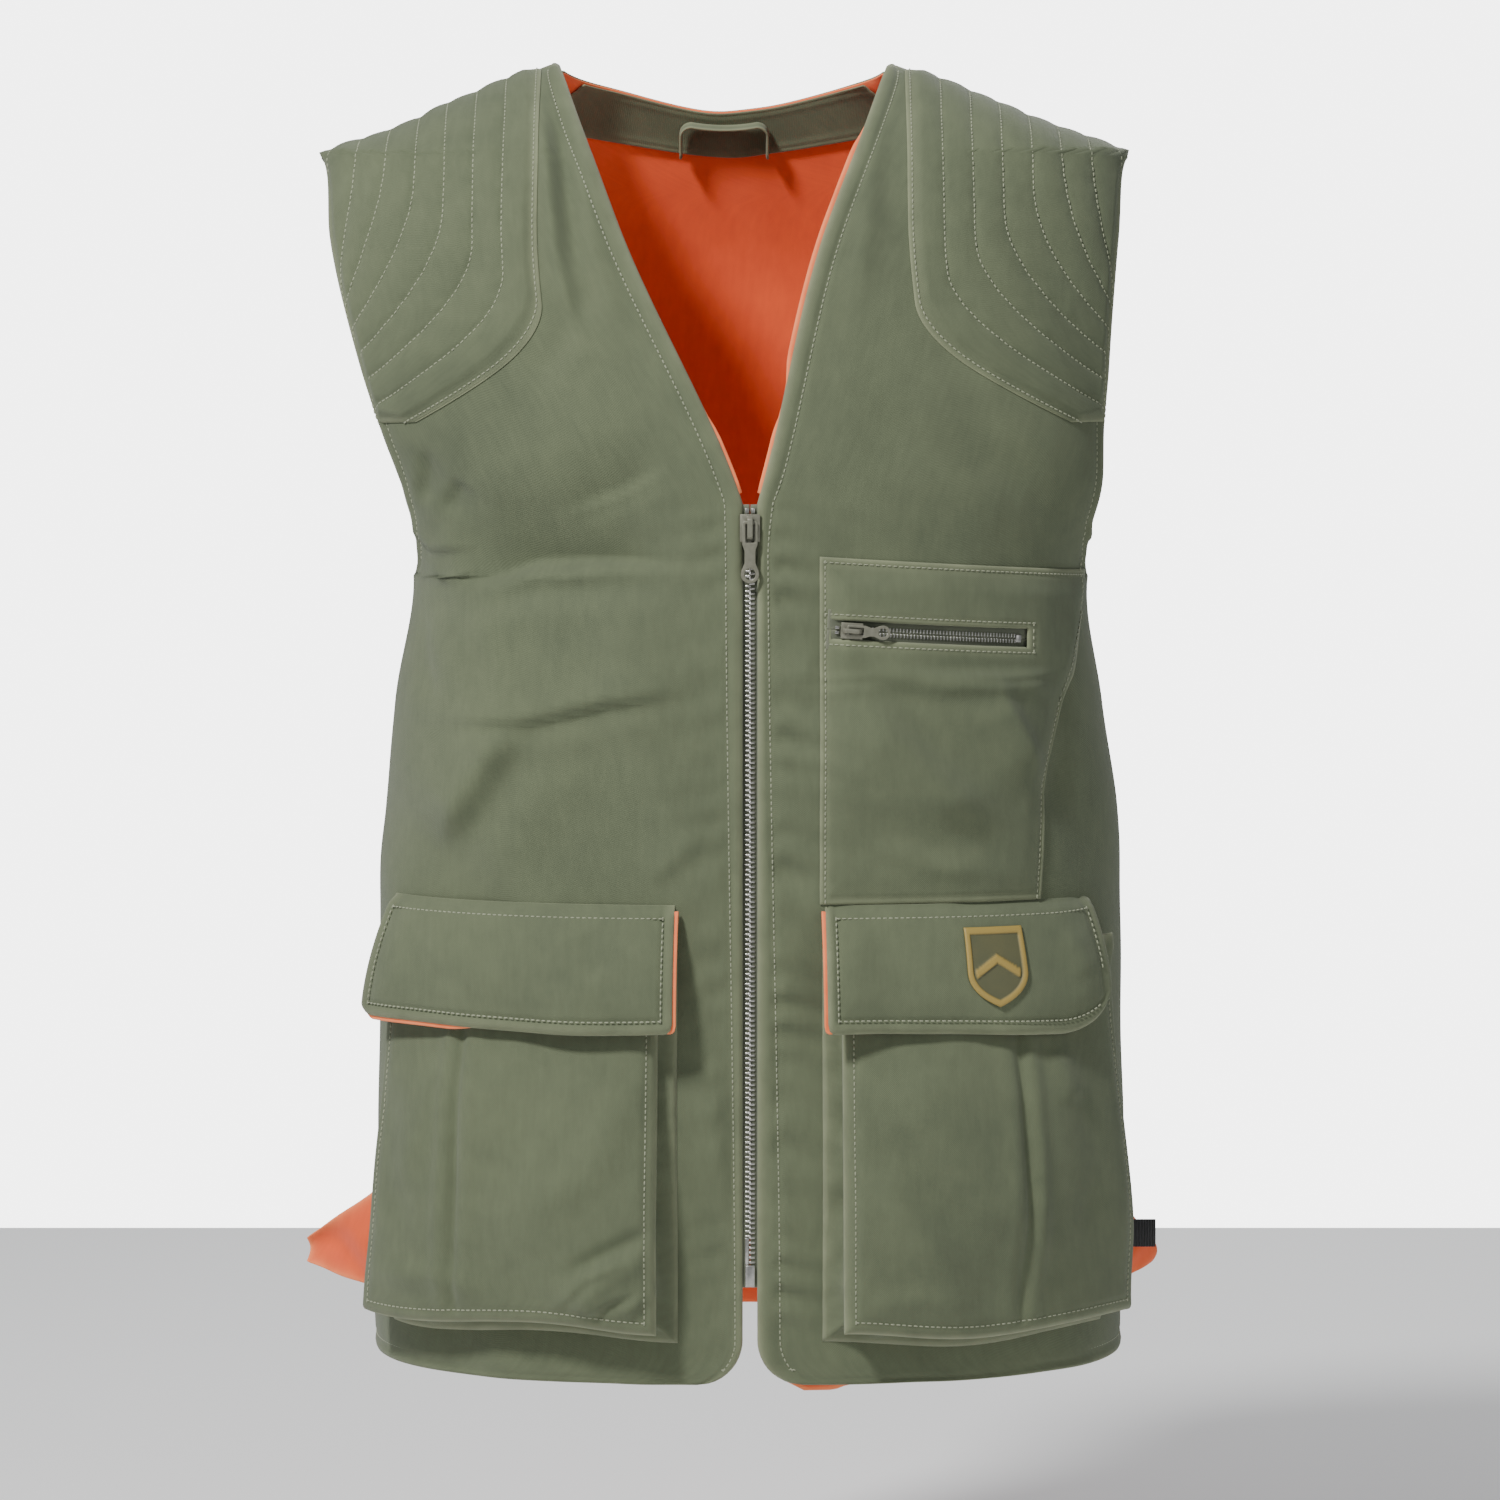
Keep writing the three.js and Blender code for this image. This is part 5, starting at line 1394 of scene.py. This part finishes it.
# ---- Game pouch, corner gussets and webbing tab ----------------------------------------------
# A blaze orange bag across the lower back for carrying game, open at the top. A folded gusset
# stands out behind each hip at its bottom corners. A short black webbing tab is sewn at the left.
pouch_top, pouch_bottom = -0.430, -0.716
pouch_half = math.radians(62)
u = np.linspace(-1, 1, 170)[None, :]
v = np.linspace(0, 1, 120)[:, None]
z = pouch_top + (pouch_bottom - pouch_top) * v + 0.004 * np.cos(u * 5 + 0.6) * (1 - v) ** 2
fullness = (1 - u ** 4) * (1 - v ** 6) * (0.6 + 0.4 * np.sin(math.pi * v))
angle = math.pi + u * pouch_half + 0 * z
x = on_body(angle, z)[..., 0]
pouch_creases = [([(-0.150, -0.470), (-0.070, -0.560), (0.0, -0.600)], 0.016, 0.0050),
                 ([(0.155, -0.465), (0.080, -0.550), (0.010, -0.590)], 0.016, 0.0050),
                 ([(-0.120, -0.600), (0.0, -0.650), (0.120, -0.610)], 0.014, -0.0040),
                 ([(-0.110, -0.655), (0.0, -0.680), (0.110, -0.660)], 0.010, 0.0036),
                 ([(-0.160, -0.520), (-0.120, -0.600), (-0.090, -0.680)], 0.012, -0.0034),
                 ([(0.165, -0.530), (0.125, -0.600), (0.100, -0.690)], 0.012, -0.0030)]
points = on_body(angle, z)
gap = edge_gap(points)
sag = creases(x, z, pouch_creases) + ripples(x, z + 0.4) * 1.3
offset = 0.0016 + 0.0245 * fullness + sag * smooth(0, 0.02, gap) * fullness ** 0.5
relief = sewn_offset(gap, 0.0075)
pouch = cloth_piece("game_pouch_bag", cloth(angle, z, offset + relief + shell_cloth),
                    cloth(angle, z, np.maximum(offset + relief, 0.0006)), blaze)
fitted(pouch, "game_pouch", "vest")

for side, sign, tip_across in (("right", -1, 0.262), ("left", 1, 0.238)):
    tip = np.array([sign * tip_across, 0.084, -0.692])
    r = np.linspace(0, 1, 40)[:, None, None]
    c = np.linspace(0, 1, 46)[None, :, None]
    root_z = pouch_bottom + (1 - r[..., 0]) * 0.076
    root = cloth(sign * math.pi * 7 / 12, root_z, 0.0009)
    end = tip + np.array([0, 0, 1]) * (0.5 - r) * 0.014
    flat = root + (end - root) * c
    run = tip - root[20, 0]
    run[2] = 0
    run /= np.linalg.norm(run)
    side_way = np.array([-run[1], run[0], 0])
    wave = (0.0045 * np.sin(math.pi * c * 1.5 + 0.5) * np.sin(math.pi * r)
            + 0.0016 * np.sin(c * 11 + r * 7) * c * (1 - c) * 4)
    corner_sheet = flat + side_way * wave
    gusset = cloth_piece(f"pouch_gusset_{side}_corner", corner_sheet + side_way * shell_cloth / 2,
                         corner_sheet - side_way * shell_cloth / 2, blaze, start=0.6)
    fitted(gusset, f"pouch_gusset_{side}", "vest")

webbing = cloth_material("black_webbing", (0.008, 0.008, 0.009), (0.030, 0.030, 0.032),
                         (0.06, 0.06, 0.06), pitch=0.0016, bump=0.9, own_pattern=False)
tab = softened("side_tab_left", 0.0004, webbing, "vest")


# ---- Topstitching ----------------------------------------------------------------------------
# Green polyester thread, about eight stitches to the inch, sunk in the dent that its own pull
# makes. It runs round the V neck, zip edges, hem, armholes, pockets, flaps, and the quilting.
stitch_pitch = 0.0032
ring = [(math.cos(math.pi * i / 3), math.sin(math.pi * i / 3)) for i in range(6)]
stitch_profile = ((-0.00105, 0.00016), (-0.0008, 0.00042), (0.0008, 0.00042), (0.00105, 0.00016))
stitch = small_shape("stitch", [[(x, y * w, z * w) for y, z in ring] for x, w in stitch_profile])
stitch_depth = -0.00055


def sewn_run(name, lines, body):
    piece = run_of(name, lines, stitch, stitch_pitch, thread)
    if body:
        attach(piece, body)
    return piece


front_lines, back_lines = [], []
levels = -np.linspace(0.006, body_length - stitch_inset, 420)
for sign in (-1, 1):
    start = angle_at(front_opening(levels), levels)
    line = turn_by(start, levels, zip_inset(sign, levels))
    front_lines.append(cloth(sign * line, levels, stitch_depth))
    below = (levels < -shoulder_drop - 0.008) & (levels > -underarm_drop + 0.010)
    hole = turn_by(panel_end(levels), levels, -stitch_inset)[below]
    over_patch = levels[below] > patch_foot
    front_lines.append(cloth(sign * hole, levels[below], stitch_depth)[~over_patch])
    back_lines.append(cloth(math.pi - sign * hole, levels[below], stitch_depth))
    hem_z = -body_length + stitch_inset + np.zeros(200)
    first = angle_at(front_opening(hem_z[0]) + 0.004, hem_z[0])
    around = np.linspace(first, panel_end(hem_z[0]) - 0.01, 200)
    front_lines.append(cloth(sign * around, hem_z, stitch_depth))
    seam_z = -np.linspace(underarm_drop + 0.01, body_length - 0.01, 240)
    seam_angle = turn_by(panel_end(seam_z), seam_z, -0.005)
    back_lines.append(cloth(math.pi - sign * seam_angle, seam_z, 0.0002))
hem_turn = np.linspace(-1, 1, 400) * (panel_end(np.array([-0.72]))[0] - 0.01)
back_lines.append(cloth(math.pi + hem_turn, -body_length + stitch_inset + 0 * hem_turn, stitch_depth))
neck_turn = np.linspace(-1, 1, 160) * (math.pi / 2 - 0.02)
back_lines.append(cloth(math.pi + neck_turn, neck_line(neck_turn) - stitch_inset, stitch_depth))
sewn_run("front_topstitching", front_lines, "vest")
sewn_run("back_topstitching", back_lines, "vest")
sewn_run("quilting", quilt_lines, "vest")


def follow_panel(line_x, line_z):
    """Places on the chest panel's face, at its own height there."""
    heights = [panel_height.ravel()[np.argmin((panel_x - px) ** 2 + (panel_z - pz) ** 2)]
               for px, pz in zip(line_x, line_z)]
    return cloth(angle_at(line_x, line_z), line_z, np.array(heights) + 0.00015)


panel_inset, window_inset = 0.0028, 0.0026
side_z = np.linspace(-0.2790, -0.4640, 160)
top_stitches = panel_top - panel_inset
top_x = np.linspace(0.041, panel_side(top_stitches) - 0.003, 130)
panel_lines = [follow_panel(panel_inner + panel_inset + 0 * side_z, side_z),
               follow_panel(panel_side(side_z) - panel_inset, side_z),
               follow_panel(top_x, top_stitches - zip_tilt(top_x))]
slit = np.linspace(window_left - window_inset, window_right + window_inset, 110)
for up in (window_half + window_inset, -window_half - window_inset):
    panel_lines.append(follow_panel(slit, window_z + up - zip_tilt(slit)))
for end_x in (window_left - window_inset, window_right + window_inset):
    end_z = window_z - zip_tilt(end_x) + np.linspace(-window_half - 0.002, window_half + 0.002, 14)
    panel_lines.append(follow_panel(end_x + 0 * end_z, end_z))
sewn_run("chest_pocket_stitching", panel_lines, "vest")

pocket_lines = []
for sign in (-1, 1):
    t = np.linspace(0.06, 0.968, 200)
    for across_share, down_share in (((0.040 + 0 * t), t), ((0.960 + 0 * t), t),
                                     (np.linspace(0.045, 0.955, 180), 0.968 + np.zeros(180))):
        pocket_lines.append(pocket_place(sign, across_share, down_share, shell_cloth + 0.0002))
sewn_run("pocket_stitching", pocket_lines, "vest")

foot_share = np.linspace(-0.97, 0.97, 300)
foot_height = 0.0016 + shell_cloth + 0.0246 * (1 - foot_share ** 4) * (1 - 0.974 ** 6) * 0.63 - 0.0003
pouch_foot = cloth(math.pi + foot_share * pouch_half, pouch_bottom + 0.0075 + np.zeros(300), foot_height)
sewn_run("pouch_stitching", [pouch_foot], "vest")

for side, sign in (("right", -1), ("left", 1)):
    lines = []
    t = np.linspace(0.10, 0.895, 90)
    offset = flap_lift + flap_cloth + 0.00045
    for share in (0.0412, 0.9588):
        stop = t if not (sign > 0 and share > 0.5) else t[t < 0.62]
        lines.append(flap_place(sign, share + 0 * stop, stop, offset)[0])
    span = np.linspace(0.045, 0.955 if sign < 0 else 0.93, 160)
    lines.append(flap_place(sign, span, 0.898 + 0 * span, offset)[0])
    top_line = np.linspace(0.05, 0.95, 150)
    seam_line = flap_place(sign, top_line, 0.098 + 0 * top_line, flap_lift + flap_cloth + 0.0010)[0]
    for name, runs in ((f"flap_stitching_{side}", lines), (f"flap_seam_stitching_{side}", [seam_line])):
        stitching = sewn_run(name, runs, None)
        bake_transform(stitching)
bpy.data.objects.remove(stitch)
